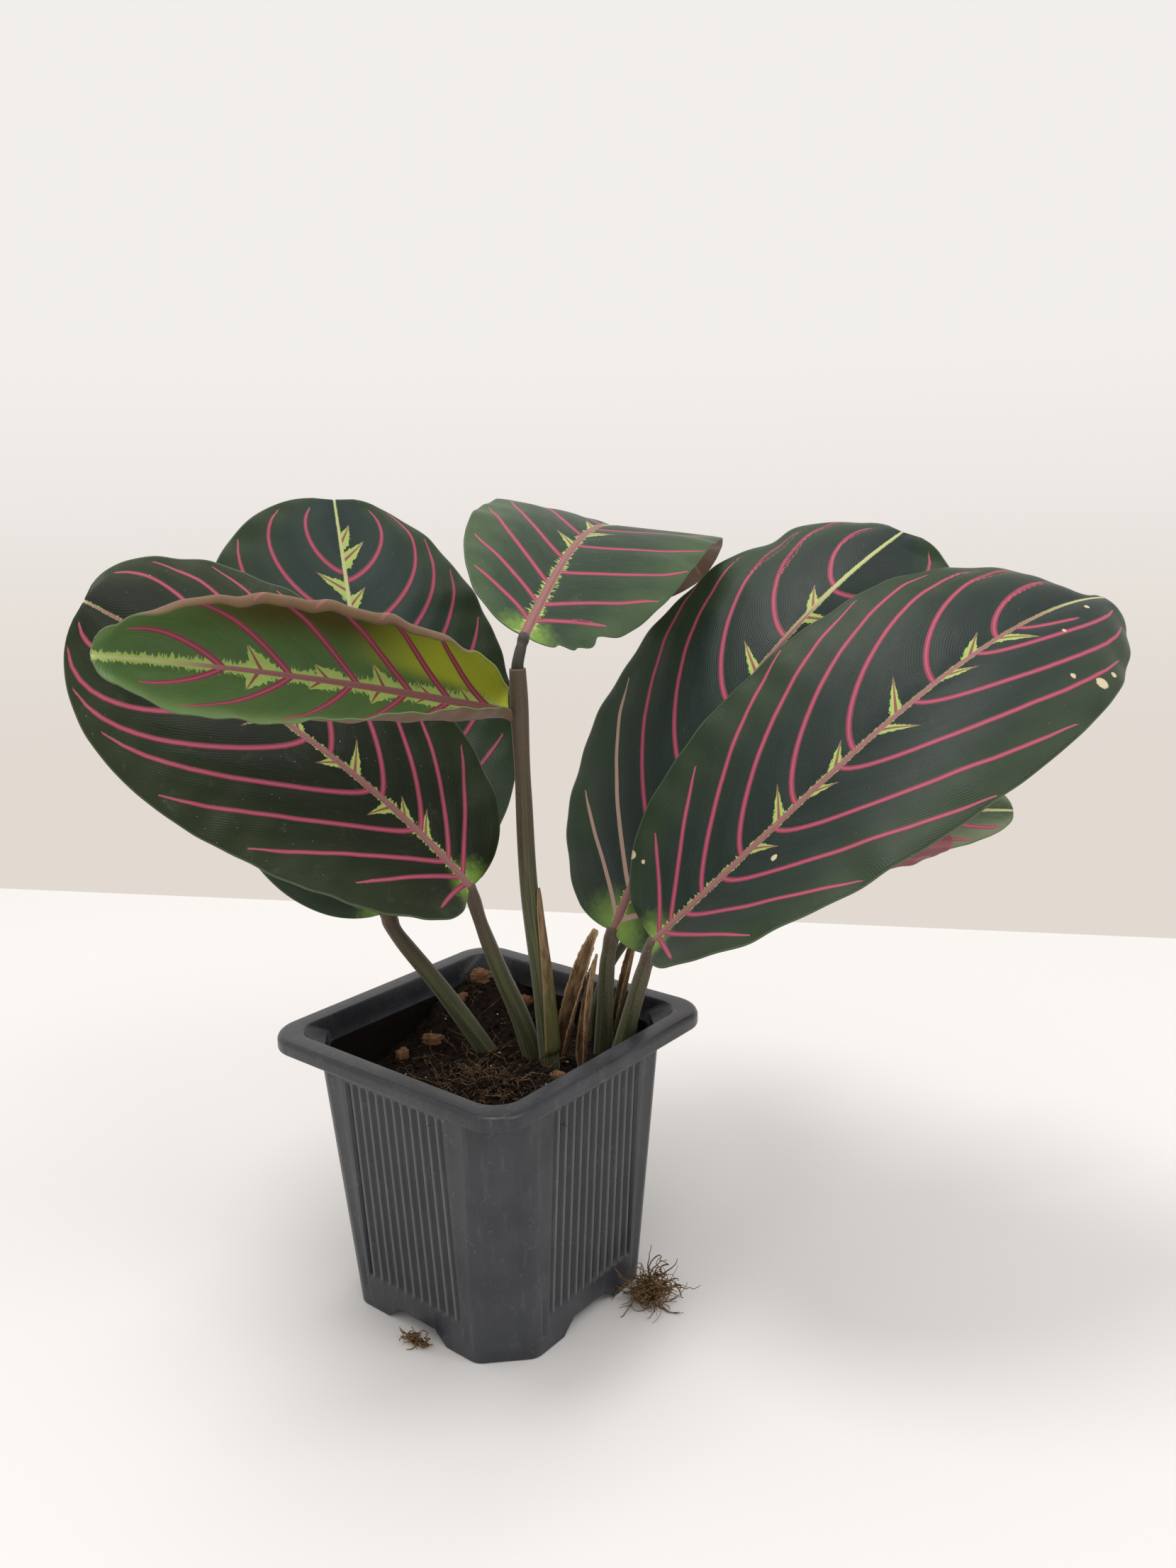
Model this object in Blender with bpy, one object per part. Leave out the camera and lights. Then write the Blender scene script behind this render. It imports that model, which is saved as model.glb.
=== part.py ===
"""A potted prayer plant: broad veined leaves on short stems in a square plastic nursery pot.

Lengths are in metres and angles in degrees. The pot stands on its four corner feet with its
sides parallel to X and Y. Every stem starts in the soil at a share of the soil's half width, so
the plant moves with the pot, and every blade starts a clearance past its own stem's end.
"""

import math
from dataclasses import dataclass

import bmesh
import bpy
from mathutils import Vector

MM = 0.001
GAP = 0.3 * MM

# Pot: a tapered square shell with chamfered corners, a rolled rim and a raised floor
POT_HEIGHT = 81 * MM
RIM_HALF = 45 * MM
RIM_DROP = 4.2 * MM
RIM_CORNER = 10.5 * MM
RIM_ROUND = 1.4 * MM
RIM_WIDTH = 6.2 * MM
RIM_TURN_IN = 0.5
RIM_CHAMFER_SHARE = 0.62
RIM_ROUND_SHARE = 0.94
WALL_HALF_TOP = 38.9 * MM
WALL_HALF_FOOT = 33.9 * MM
WALL = 1.3 * MM
WALL_ROUND = 5 * MM
CHAMFER = 11.5 * MM
LEDGE_DROP = 7.2 * MM
LEDGE = 0.7 * MM
FLOOR_HEIGHT = 5 * MM
FLOOR = 1.2 * MM
FOOT_LAND = 2.4 * MM
ARCH_HEIGHT = 4.3 * MM
ARCH_TOP_HALF = 7 * MM
ARCH_FOOT_HALF = 11.5 * MM
DRAIN_RADIUS = 4 * MM
DRAIN_OFFSET = 19 * MM

# Soil: x and y of each mound or hollow as shares of the soil's half width, rise and spread
SOIL_BELOW_RIM = 14.5 * MM
SOIL_MOUNDS = (
    (0.36, -0.34, 5 * MM, 0.42),
    (-0.85, 0.85, 10 * MM, 0.4),
    (-0.95, -0.95, -9 * MM, 0.55),
    (0.85, 0.3, -2 * MM, 0.35),
)
SOIL_LUMP = 0.5 * MM
SOIL_LUMPS_ACROSS = 9.1
SOIL_LUMPS_ALONG = 8.3
SOIL_LUMPS_MIXED = 17
SOIL_RING_SHARES = (0.9, 0.77, 0.63, 0.48, 0.32, 0.15)

# Plant
ROOTED_DEPTH = 12 * MM
BLADE_THICKNESS = 0.5 * MM
BLADE_END = 0.6 * MM
FLAT_END = 0.35
OUTLINE_POWER = 2.3
OUTLINE_FULLNESS = 0.55
SWEEP_AT_BASE = -0.28
SWEEP_GAIN = 0.5
SWEEP_POWER = 1.5
SHEATH_THICKNESS = 0.6 * MM
SHEATH_POINT_SPREAD = 8
SHEATH_TAPER = 0.6
SOCKET_POINTS = 6


@dataclass
class Blade:
    """A leaf blade: its midrib starts along heading and rise, then bends and swings to the tip.

    left and right hold each half's fold at the midrib and its curl at the base and at the tip.
    """

    length: float
    width: float
    heading: float
    rise: float
    bend: float = 0
    late: float = 1.5
    swing: float = 0
    roll: float = 0
    twist: float = 0
    widest: float = 0.5
    left: tuple = (5, 0, 0)
    right: tuple = (5, 0, 0)
    sweep: float = 1
    lean: float = 0


@dataclass
class Stem:
    """A stem: foot as shares of the soil's half width, route from there, first and last radius."""

    foot: tuple
    route: tuple
    radii: tuple


STEMS = {
    "petiole_right_front": Stem(
        (0.78, 0.56),
        ((0, 0, 0), (2.6, 1, 10), (7.6, 2.6, 28.5), (11, 3, 38)),
        (3.1 * MM, 1.9 * MM),
    ),
    "petiole_right_rear": Stem(
        (0.573, 0.659),
        ((0, 0, 0), (0.2, 1.1, 13.6), (-0.2, 3.2, 28), (0.4, 5, 36)),
        (3 * MM, 1.9 * MM),
    ),
    "petiole_left": Stem(
        (0.23, 0.245),
        ((0, 0, 0), (-3.2, -2.8, 15), (-6.7, -6.2, 28), (-9.6, -9.8, 42), (-10.3, -12.9, 53)),
        (3.5 * MM, 1.6 * MM),
    ),
    "petiole_rear_left": Stem(
        (-0.13, 0.12),
        ((0, 0, 0), (-7.2, -5.1, 14), (-12.4, -9.3, 24), (-20.6, -14.6, 37), (-22.6, -16.1, 43)),
        (3.1 * MM, 2 * MM),
    ),
    "petiole_small_low": Stem(
        (0.74, 0.8),
        ((0, 0, 0), (0.5, 1, 12), (0, 7, 24), (-3, 20, 35)),
        (1.8 * MM, 1.1 * MM),
    ),
    "petiole_small_high": Stem(
        (0.33, 0.84),
        ((0, 0, 0), (1, 1, 12), (3, 8, 25), (8, 27, 38), (16, 52, 44)),
        (1.8 * MM, 1.1 * MM),
    ),
    "central_shoot": Stem(
        (0.42, 0.2),
        ((0, 0, 0), (-2, -0.3, 25), (-5.7, -0.3, 53), (-6.7, -0.3, 83), (-7.2, -0.5, 113)),
        (3 * MM, 2.1 * MM),
    ),
}
NODE_TO_TOP_LEAF = ((0, 0, 0), (0, 0.1, 1.5), (-0.4, 1.6, 4.4), (-1.1, 4, 7.8))
TOP_PETIOLE_RADII = (1.7 * MM, 1.4 * MM)
YOUNG_LEAF_DROP = 11 * MM

# Leaf name: (stem that carries it, blade)
LEAVES = {
    "leaf_right_front": (
        "petiole_right_front",
        Blade(165 * MM, 80 * MM, 22, 46, -50, 3, 52, 29, -6, 0.48, (13, 33, -40), (11, 20, -70), 1, 0.02),
    ),
    "leaf_right_rear": (
        "petiole_right_rear",
        Blade(
            147 * MM, 89 * MM, 43, 68, -44, 1.35, 29, 21, -6, 0.53, (10, 5, -28), (-42, 44, 44), 1.6, 0.01
        ),
    ),
    "leaf_left": (
        "petiole_left",
        Blade(123 * MM, 80 * MM, 227, 54, -22, 0.8, 11, -35, -24, 0.48, (9, 27, -63), (8, 7, -38), 0.9, 0.02),
    ),
    "leaf_rear_left": (
        "petiole_rear_left",
        Blade(131 * MM, 92 * MM, 142, 57, 8, 1.5, 9, -16, 20, 0.53, (5, -7, -13), (5, 7, -41), 1, 0.01),
    ),
    "leaf_small_low": (
        "petiole_small_low",
        Blade(95 * MM, 24 * MM, 51, 20, -24, 1.2, 0, -75, 0, 0.5, (12, 15, 10), (12, 15, 10), 0.6),
    ),
    "leaf_small_high": (
        "petiole_small_high",
        Blade(99 * MM, 27 * MM, 51, 14, -22, 1.5, 6, 65, 0, 0.5, (10, 10, 0), (10, 10, 0), 0.8),
    ),
    "leaf_top": (
        "petiole_top",
        Blade(
            123 * MM, 68 * MM, 109, 32, -105, 2.2, -1, 30, -32, 0.54, (9, -7, -21), (4, -22, 8), 1.1, -0.03
        ),
    ),
}
YOUNG_LEAF = Blade(
    111 * MM, 54 * MM, 255, 16, -6, 1.4, 9, -55, -10, 0.54, (8, 114, 42), (17, 110, 92), 0.25
)

# Free sheaths: foot as shares of the soil's half width, blade
SHEATHS = {
    "dry_sheath_near_shoot": (
        (0.41, 0.38),
        Blade(41 * MM, 5.5 * MM, 32, 79, -8, 2, 10, 35, 30, 0.35, (30, 60, 60), (30, 60, 60), 0),
    ),
    "dry_sheath_middle": (
        (0.6, 0.39),
        Blade(35 * MM, 4.6 * MM, 50, 84, -3, 2, 0, 30, -50, 0.35, (25, 50, 50), (25, 50, 50), 0),
    ),
    "brown_sheath_right": (
        (0.565, 0.815),
        Blade(39 * MM, 5.5 * MM, 38, 79, -2, 2, 0, 25, 0, 0.4, (25, 60, 60), (25, 60, 60), 0),
    ),
}
SHEATH_LIFT = 1 * MM

# Shoot sheath: start and end height above the soil level, side it lies on, half spread at its foot
SHOOT_SHEATH = (4.8 * MM, 54 * MM, 15, 75)

# Bark chips: x and y as shares of the soil's half width, half sizes, turn about Z
CHIPS = (
    (-0.84, 0.78, (3.4, 2.6, 2.2), 20),
    (-0.8, 0.5, (2, 1.6, 1.3), 70),
    (-0.68, 0.04, (3.6, 1.9, 1.6), 25),
    (-0.8, -0.2, (2.2, 1.7, 1.6), 110),
    (-0.25, -0.62, (2.6, 1.8, 1.3), 140),
    (-0.42, 0.84, (3, 2, 1.5), 60),
    (0.78, -0.3, (2.8, 1.8, 1.4), 100),
    (0.62, 0.05, (2.2, 1.5, 1.2), 15),
)
CHIP_SINK = 0.3 * MM
CHIP_REACH = 0.8
LUMP_UNEVEN = 0.1
LUMP_FINE = 0.06
TUFT_LIFT = 1.1

# Root tufts outside the pot: offset from the foot's face, along it and up, then half sizes
TUFT_RIGHT = (8.6 * MM, 17.5 * MM, (7, 9, 4.2))
TUFT_LEFT = (3.6 * MM, 4 * MM, (5.5, 2, 1.8))

COLOURS = {
    "pot": ((0.02, 0.022, 0.026, 1), 0.45),
    "soil": ((0.035, 0.02, 0.012, 1), 0.95),
    "leaf": ((0.012, 0.045, 0.02, 1), 0.4),
    "young_leaf": ((0.12, 0.28, 0.04, 1), 0.4),
    "stem": ((0.07, 0.1, 0.03, 1), 0.5),
    "dry": ((0.2, 0.12, 0.06, 1), 0.8),
    "bark": ((0.36, 0.17, 0.07, 1), 0.85),
    "root": ((0.3, 0.19, 0.09, 1), 0.9),
}


def clear_scene():
    for old in list(bpy.data.objects):
        bpy.data.objects.remove(old, do_unlink=True)


def material(name):
    """The named Principled material, made once."""
    found = bpy.data.materials.get(name)
    if found:
        return found
    made = bpy.data.materials.new(name)
    made.use_nodes = True
    shader = made.node_tree.nodes["Principled BSDF"]
    colour, roughness = COLOURS[name]
    shader.inputs["Base Color"].default_value = colour
    shader.inputs["Roughness"].default_value = roughness
    shader.inputs["Metallic"].default_value = 0
    return made


def add_object(name, bm, look, smooth=True):
    """A linked object from bm, its faces turned outward."""
    bmesh.ops.recalc_face_normals(bm, faces=bm.faces)
    mesh = bpy.data.meshes.new(name)
    bm.to_mesh(mesh)
    bm.free()
    if smooth:
        mesh.shade_smooth()
    mesh.materials.append(material(look))
    made = bpy.data.objects.new(name, mesh)
    bpy.context.scene.collection.objects.link(made)
    return made


def cut(target, cutter):
    """Take cutter's shape out of target and keep cutter as a hidden guide."""
    cutter.hide_render = True
    cutter.display_type = "WIRE"
    step = target.modifiers.new("Cut", "BOOLEAN")
    step.operation = "DIFFERENCE"
    step.solver = "EXACT"
    step.object = cutter


def loft(bm, rings):
    """Join rings of equal length into one skin, capped at both ends."""
    loops = [[bm.verts.new(point) for point in ring] for ring in rings]
    for low, high in zip(loops, loops[1:]):
        for i, corner in enumerate(low):
            j = (i + 1) % len(low)
            bm.faces.new((corner, low[j], high[j], high[i]))
    bm.faces.new(list(reversed(loops[0])))
    bm.faces.new(loops[-1])


# Pot


def square_ring(half, chamfer, rounding, z, side_points=0, arc_steps=3):
    """A square with chamfered corners whose edges are rounded, counter-clockwise at height z."""
    tangent = rounding * math.tan(math.radians(22.5))
    quarter = []
    for centre, start in (
        ((half - rounding, half - chamfer - tangent), 0),
        ((half - chamfer - tangent, half - rounding), 45),
    ):
        for step in range(arc_steps + 1):
            angle = math.radians(start + 45 * step / arc_steps)
            quarter.append(
                (centre[0] + rounding * math.cos(angle), centre[1] + rounding * math.sin(angle))
            )
    side = quarter[0][1]
    for step in range(1, side_points + 1):
        quarter.append((side * (1 - 2 * step / (side_points + 1)), half))
    ring = []
    for turn in range(4):
        for x, y in quarter:
            for _ in range(turn):
                x, y = -y, x
            ring.append(Vector((x, y, z)))
    return ring


def wall_ring(z, inset=0, side_points=0):
    """The pot wall's outline at height z, moved inward by inset."""
    share = z / (POT_HEIGHT - RIM_DROP)
    half = WALL_HALF_FOOT + (WALL_HALF_TOP - WALL_HALF_FOOT) * share - inset
    chamfer = CHAMFER - inset * (2 - math.sqrt(2))
    return square_ring(half, chamfer, WALL_ROUND - inset, z, side_points)


def rim_ring(half, z):
    """The rim's outline, rounder than the wall's."""
    corner = RIM_CORNER - (RIM_HALF - half) * RIM_TURN_IN
    return square_ring(half, corner * RIM_CHAMFER_SHARE, corner * RIM_ROUND_SHARE, z)


def make_pot():
    rim_under = POT_HEIGHT - RIM_DROP
    ledge = POT_HEIGHT - LEDGE_DROP
    opening = RIM_HALF - RIM_WIDTH
    thin = WALL - LEDGE
    bm = bmesh.new()
    loft(
        bm,
        [
            wall_ring(FLOOR_HEIGHT, FOOT_LAND),
            wall_ring(0, FOOT_LAND),
            wall_ring(0),
            wall_ring(rim_under),
            rim_ring(RIM_HALF - 0.4 * RIM_ROUND, rim_under),
            rim_ring(RIM_HALF, rim_under + 0.5 * RIM_ROUND),
            rim_ring(RIM_HALF, POT_HEIGHT - RIM_ROUND),
            rim_ring(RIM_HALF - 0.4 * RIM_ROUND, POT_HEIGHT - 0.4 * RIM_ROUND),
            rim_ring(RIM_HALF - 1.3 * RIM_ROUND, POT_HEIGHT),
            rim_ring(opening, POT_HEIGHT),
            wall_ring(rim_under, thin),
            wall_ring(ledge, thin),
            wall_ring(ledge, WALL),
            wall_ring(FLOOR_HEIGHT + FLOOR, WALL),
        ],
    )
    pot = add_object("pot", bm, "pot", smooth=False)
    for along_x in (True, False):
        cut(pot, arch_cutter(along_x))
    for x, y in ((0, 0), (1, 1), (1, -1), (-1, 1), (-1, -1)):
        cut(pot, drain_cutter(x * DRAIN_OFFSET, y * DRAIN_OFFSET))
    return pot


def arch_cutter(along_x):
    """A long prism with the arch's sloped sides, through two opposite walls."""
    reach = WALL_HALF_TOP + WALL
    slope = (ARCH_FOOT_HALF - ARCH_TOP_HALF) / ARCH_HEIGHT
    below = -ARCH_HEIGHT
    wide = ARCH_FOOT_HALF - slope * below
    outline = ((-wide, below), (wide, below), (ARCH_TOP_HALF, ARCH_HEIGHT), (-ARCH_TOP_HALF, ARCH_HEIGHT))
    bm = bmesh.new()
    ends = []
    for end in (-reach, reach):
        ends.append([(end, side, z) if along_x else (side, end, z) for side, z in outline])
    loft(bm, ends)
    return add_object("cutter_arch_x" if along_x else "cutter_arch_y", bm, "pot", smooth=False)


def drain_cutter(x, y):
    bm = bmesh.new()
    bmesh.ops.create_cone(
        bm, cap_ends=True, segments=16, radius1=DRAIN_RADIUS, radius2=DRAIN_RADIUS, depth=4 * FLOOR
    )
    cutter = add_object("cutter_drain", bm, "pot", smooth=False)
    cutter.location = (x, y, FLOOR_HEIGHT + FLOOR / 2)
    return cutter


# Soil

SOIL_LEVEL = POT_HEIGHT - SOIL_BELOW_RIM
SOIL_BOTTOM = FLOOR_HEIGHT + FLOOR + GAP
SOIL_HALF = (
    WALL_HALF_FOOT
    + (WALL_HALF_TOP - WALL_HALF_FOOT) * SOIL_LEVEL / (POT_HEIGHT - RIM_DROP)
    - WALL
    - GAP
)


def soil_height(x, y):
    """The soil's surface: mounds, hollows and small lumps about its level."""
    across, along = x / SOIL_HALF, y / SOIL_HALF
    z = SOIL_LEVEL
    for centre_x, centre_y, rise, spread in SOIL_MOUNDS:
        away = (across - centre_x) ** 2 + (along - centre_y) ** 2
        z += rise * math.exp(-away / (2 * spread * spread))
    coarse = math.sin(SOIL_LUMPS_ACROSS * across + 2) * math.cos(SOIL_LUMPS_ALONG * along)
    fine = math.sin(SOIL_LUMPS_MIXED * across * along + 5 * along)
    return z + SOIL_LUMP * (coarse + fine)


def make_soil():
    bm = bmesh.new()
    bottom = wall_ring(SOIL_BOTTOM, WALL + GAP, side_points=3)
    edge = []
    for i, corner in enumerate(wall_ring(SOIL_LEVEL, WALL + GAP, side_points=3)):
        z = soil_height(corner.x, corner.y)
        edge.append(wall_ring(z, WALL + GAP, side_points=3)[i])
    rings = [bottom, edge]
    for share in SOIL_RING_SHARES:
        ring = []
        for corner in edge:
            x, y = corner.x * share, corner.y * share
            ring.append(Vector((x, y, soil_height(x, y))))
        rings.append(ring)
    loft(bm, rings)
    return add_object("soil", bm, "soil")


# Stems


def smooth_route(points, steps=3):
    """A Catmull-Rom curve through points, with steps spans between neighbours."""
    padded = [2 * points[0] - points[1], *points, 2 * points[-1] - points[-2]]
    route = []
    for a, b, c, d in zip(padded, padded[1:], padded[2:], padded[3:]):
        for step in range(steps):
            t = step / steps
            route.append(
                0.5
                * (
                    2 * b
                    + (c - a) * t
                    + (2 * a - 5 * b + 4 * c - d) * t**2
                    + (3 * b - 3 * c + d - a) * t**3
                )
            )
    route.append(points[-1].copy())
    return route


def frames(route):
    """Each point's direction and a side direction that turns as little as it can."""
    side = Vector((1, 0, 0))
    found = []
    for i, point in enumerate(route):
        ahead = route[min(i + 1, len(route) - 1)] - route[max(i - 1, 0)]
        ahead.normalize()
        side = (side - ahead * side.dot(ahead)).normalized()
        found.append((point, ahead, side.copy()))
    return found


def stem_route(stem):
    """The stem's centre line from its rooted end to its tip."""
    foot = Vector((stem.foot[0] * SOIL_HALF, stem.foot[1] * SOIL_HALF, SOIL_LEVEL))
    points = [foot + Vector(offset) * MM for offset in stem.route]
    slope = (points[1] - points[0]) / (points[1].z - points[0].z)
    return smooth_route([foot - slope * ROOTED_DEPTH, *points])


def tube(name, route, radii, look="stem", extra=0, sides=10):
    """A round tube along route, tapering between two radii and grown by extra all round."""
    bm = bmesh.new()
    rings = []
    spans = len(route) - 1
    for i, (point, ahead, side) in enumerate(frames(route)):
        radius = radii[0] + (radii[1] - radii[0]) * i / spans + extra
        if i == 0:
            point = point - ahead * extra
        up = ahead.cross(side)
        ring = []
        for step in range(sides):
            angle = 2 * math.pi * step / sides
            ring.append(point + (side * math.cos(angle) + up * math.sin(angle)) * radius)
        rings.append(ring)
    loft(bm, rings)
    return add_object(name, bm, look)


def wrap_sheath(name, route, radii, low, high, facing, spread):
    """A pointed sheath round one side of a stem, between two heights above the soil level."""
    bm = bmesh.new()
    spans = len(route) - 1
    rings = []
    for i, (point, ahead, side) in enumerate(frames(route)):
        share = (point.z - SOIL_LEVEL - low) / (high - low)
        if not 0 <= share <= 1:
            continue
        inner = radii[0] + (radii[1] - radii[0]) * i / spans + GAP
        half = spread * (1 - share) ** SHEATH_TAPER + SHEATH_POINT_SPREAD
        up = ahead.cross(side)
        arc = []
        for step in range(7):
            angle = math.radians(facing + half * (step / 3 - 1))
            arc.append(side * math.cos(angle) + up * math.sin(angle))
        outer = inner + SHEATH_THICKNESS
        outside = [point + out * outer for out in arc]
        inside = [point + out * inner for out in reversed(arc)]
        rings.append(outside + inside)
    loft(bm, rings)
    return add_object(name, bm, "dry")


# Blades


def half_width(blade, share):
    """Half the blade's width at share of its length, never quite nothing."""
    skewed = share ** (math.log(0.5) / math.log(blade.widest))
    shape = max(0, 1 - abs(2 * skewed - 1) ** OUTLINE_POWER) ** OUTLINE_FULLNESS
    return max(shape * blade.width / 2, BLADE_END)


def blade_rows(blade, base, rows, columns):
    """Rows of (point, normal) across the blade, from its base to its tip, left to right."""
    middle = Vector(base)
    grid = []
    for row in range(rows + 1):
        share = row / rows
        heading = math.radians(blade.heading + blade.swing * share)
        rise = math.radians(blade.rise + blade.bend * share**blade.late)
        level = Vector((math.cos(heading), math.sin(heading), 0))
        ahead = level * math.cos(rise) + Vector((0, 0, math.sin(rise)))
        flat = -level * math.sin(rise) + Vector((0, 0, math.cos(rise)))
        roll = math.radians(blade.roll + blade.twist * share)
        up = flat * math.cos(roll) + ahead.cross(flat) * math.sin(roll)
        right = ahead.cross(up)
        if row:
            middle = middle + (ahead + last_ahead) * (blade.length / rows / 2)
        last_ahead = ahead
        swept = (SWEEP_AT_BASE + SWEEP_GAIN * share) * blade.sweep
        points = [(middle, up)]
        for sign, (full_fold, base_curl, tip_curl) in ((-1, blade.left), (1, blade.right)):
            reach = half_width(blade, share) * (1 - sign * blade.lean)
            bent = min(1, reach / (FLAT_END * blade.width / 2))
            curl = (base_curl + (tip_curl - base_curl) * share) * bent
            fold = full_fold * bent
            out = height = 0
            for column in range(1, columns + 1):
                angle = math.radians(fold + curl * (column - 0.5) / columns)
                out += math.cos(angle) * reach / columns
                height += math.sin(angle) * reach / columns
                backward = swept * reach * (column / columns) ** SWEEP_POWER
                point = middle + right * (sign * out) + up * height + ahead * backward
                edge_angle = math.radians(fold + curl * column / columns)
                normal = up * math.cos(edge_angle) - right * (sign * math.sin(edge_angle))
                points.insert(len(points) if sign > 0 else 0, (point, normal))
        grid.append(points)
    return grid


def blade_object(name, blade, base, look, rows=16, columns=4, thickness=BLADE_THICKNESS):
    """A thin closed blade."""
    bm = bmesh.new()
    half = thickness / 2
    rings = []
    for points in blade_rows(blade, base, rows, columns):
        upper = [point + normal * half for point, normal in points]
        lower = [point - normal * half for point, normal in points]
        rings.append(upper + list(reversed(lower)))
    loft(bm, rings)
    return add_object(name, bm, look)


# Small pieces


def lump(name, centre, halves, turn, look, extra=0):
    """An uneven rounded lump, grown by extra for a cutter."""
    bm = bmesh.new()
    bmesh.ops.create_icosphere(bm, subdivisions=2, radius=1)
    grown = [half * MM + extra for half in halves]
    turned = math.radians(turn)
    for vert in bm.verts:
        x, y, z = vert.co
        uneven = 1 + LUMP_UNEVEN * math.sin(7 * x + 5 * y + turn)
        uneven += LUMP_FINE * math.cos(9 * z - 4 * y)
        x, y, z = x * grown[0] * uneven, y * grown[1] * uneven, z * grown[2] * uneven
        vert.co = (
            centre[0] + x * math.cos(turned) - y * math.sin(turned),
            centre[1] + x * math.sin(turned) + y * math.cos(turned),
            centre[2] + z,
        )
    return add_object(name, bm, look, smooth=False)


def make_stems(soil):
    """Every stem with its socket in the soil. Returns each stem's tip and direction there."""
    tips = {}
    for name, stem in STEMS.items():
        route = stem_route(stem)
        tube(name, route, stem.radii)
        socket = tube(f"cutter_{name}", route[:SOCKET_POINTS], socket_radii(stem, route), extra=GAP)
        cut(soil, socket)
        tips[name] = (route[-1], (route[-1] - route[-2]).normalized())
    node = tips["central_shoot"][0] + Vector((0, 0, GAP))
    route = smooth_route([node + Vector(offset) * MM for offset in NODE_TO_TOP_LEAF])
    tube("petiole_top", route, TOP_PETIOLE_RADII)
    tips["petiole_top"] = (route[-1], (route[-1] - route[-2]).normalized())
    return tips


def socket_radii(stem, route):
    """The stem's radii where its socket starts and ends."""
    share = (SOCKET_POINTS - 1) / (len(route) - 1)
    return (stem.radii[0], stem.radii[0] + (stem.radii[1] - stem.radii[0]) * share)


def make_leaves(tips):
    for name, (carrier, blade) in LEAVES.items():
        tip, ahead = tips[carrier]
        start = tip + ahead * (GAP + BLADE_THICKNESS)
        blade_object(name, blade, start, "leaf")
    shoot = STEMS["central_shoot"]
    tip = tips["central_shoot"][0]
    heading = math.radians(YOUNG_LEAF.heading)
    clear = shoot.radii[1] + 2 * GAP + BLADE_THICKNESS
    start = tip + Vector((math.cos(heading) * clear, math.sin(heading) * clear, -YOUNG_LEAF_DROP))
    blade_object("leaf_young", YOUNG_LEAF, start, "young_leaf", columns=6)


def make_sheaths():
    for name, (foot, blade) in SHEATHS.items():
        x, y = foot[0] * SOIL_HALF, foot[1] * SOIL_HALF
        base = (x, y, soil_height(x, y) + SHEATH_LIFT)
        blade_object(name, blade, base, "dry", rows=9, columns=3, thickness=SHEATH_THICKNESS)
    shoot = STEMS["central_shoot"]
    route = stem_route(shoot)
    wrap_sheath("shoot_sheath", route, shoot.radii, *SHOOT_SHEATH)


def chip_place(across, along, reach):
    """A chip's place on the soil, drawn in toward the middle until it clears wall and corner."""
    x, y = across * SOIL_HALF, along * SOIL_HALF
    height_share = soil_height(x, y) / (POT_HEIGHT - RIM_DROP)
    inside = WALL_HALF_FOOT + (WALL_HALF_TOP - WALL_HALF_FOOT) * height_share - WALL
    side = inside - reach
    corner = 2 * inside - CHAMFER - reach * math.sqrt(2)
    share = min(1, side / max(abs(x), abs(y)), corner / (abs(x) + abs(y)))
    return x * share, y * share


def make_chips(soil):
    for number, (across, along, halves, turn) in enumerate(CHIPS, 1):
        x, y = chip_place(across, along, max(halves[:2]) * CHIP_REACH * MM)
        centre = (x, y, soil_height(x, y) + halves[2] * MM * 0.5 - CHIP_SINK)
        lump(f"bark_chip_{number}", centre, halves, turn, "bark")
        cut(soil, lump(f"cutter_chip_{number}", centre, halves, turn, "bark", extra=GAP))


def make_tufts():
    out, along, halves = TUFT_RIGHT
    centre = (WALL_HALF_FOOT + out, along, halves[2] * TUFT_LIFT * MM)
    lump("root_tuft_right", centre, halves, 0, "root")
    out, along, halves = TUFT_LEFT
    centre = (along, -WALL_HALF_FOOT - out, halves[2] * TUFT_LIFT * MM)
    lump("root_tuft_left", centre, halves, 0, "root")


def centre_on_base():
    """Move everything so that the origin is the middle of the object's box, at its bottom."""
    view = bpy.context.evaluated_depsgraph_get()
    corners = []
    for piece in bpy.context.scene.objects:
        if not piece.hide_render:
            shape = piece.evaluated_get(view)
            corners += [shape.matrix_world @ Vector(corner) for corner in shape.bound_box]
    for axis in (0, 1):
        low = min(corner[axis] for corner in corners)
        high = max(corner[axis] for corner in corners)
        for piece in bpy.context.scene.objects:
            piece.location[axis] -= (low + high) / 2


def main():
    clear_scene()
    make_pot()
    soil = make_soil()
    tips = make_stems(soil)
    make_leaves(tips)
    make_sheaths()
    make_chips(soil)
    make_tufts()
    centre_on_base()


main()
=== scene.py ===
"""A potted prayer plant: its leaves, stems, pot and soil in detail, around its CAD frame."""

import math
import random
from dataclasses import dataclass

import bmesh
import bpy
import numpy as np
from bpy.props import FloatProperty, FloatVectorProperty, IntProperty, PointerProperty
from mathutils import Matrix, Vector, noise


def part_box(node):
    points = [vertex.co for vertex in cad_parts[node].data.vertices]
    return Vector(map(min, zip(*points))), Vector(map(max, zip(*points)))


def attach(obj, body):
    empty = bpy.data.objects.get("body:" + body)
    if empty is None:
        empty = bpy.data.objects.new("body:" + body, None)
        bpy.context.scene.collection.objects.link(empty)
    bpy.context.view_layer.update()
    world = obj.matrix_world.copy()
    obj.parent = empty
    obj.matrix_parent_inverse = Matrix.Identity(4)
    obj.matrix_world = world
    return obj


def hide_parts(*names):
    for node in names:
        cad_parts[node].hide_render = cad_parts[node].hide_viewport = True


bl_info = {
    "name": "Potted Prayer Plant",
    "version": (1, 0, 0),
    "blender": (4, 5, 0),
    "location": "View3D > Sidebar > Plant",
    "description": "Builds a red-veined prayer plant in a square nursery pot",
    "category": "Add Mesh",
}

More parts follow.
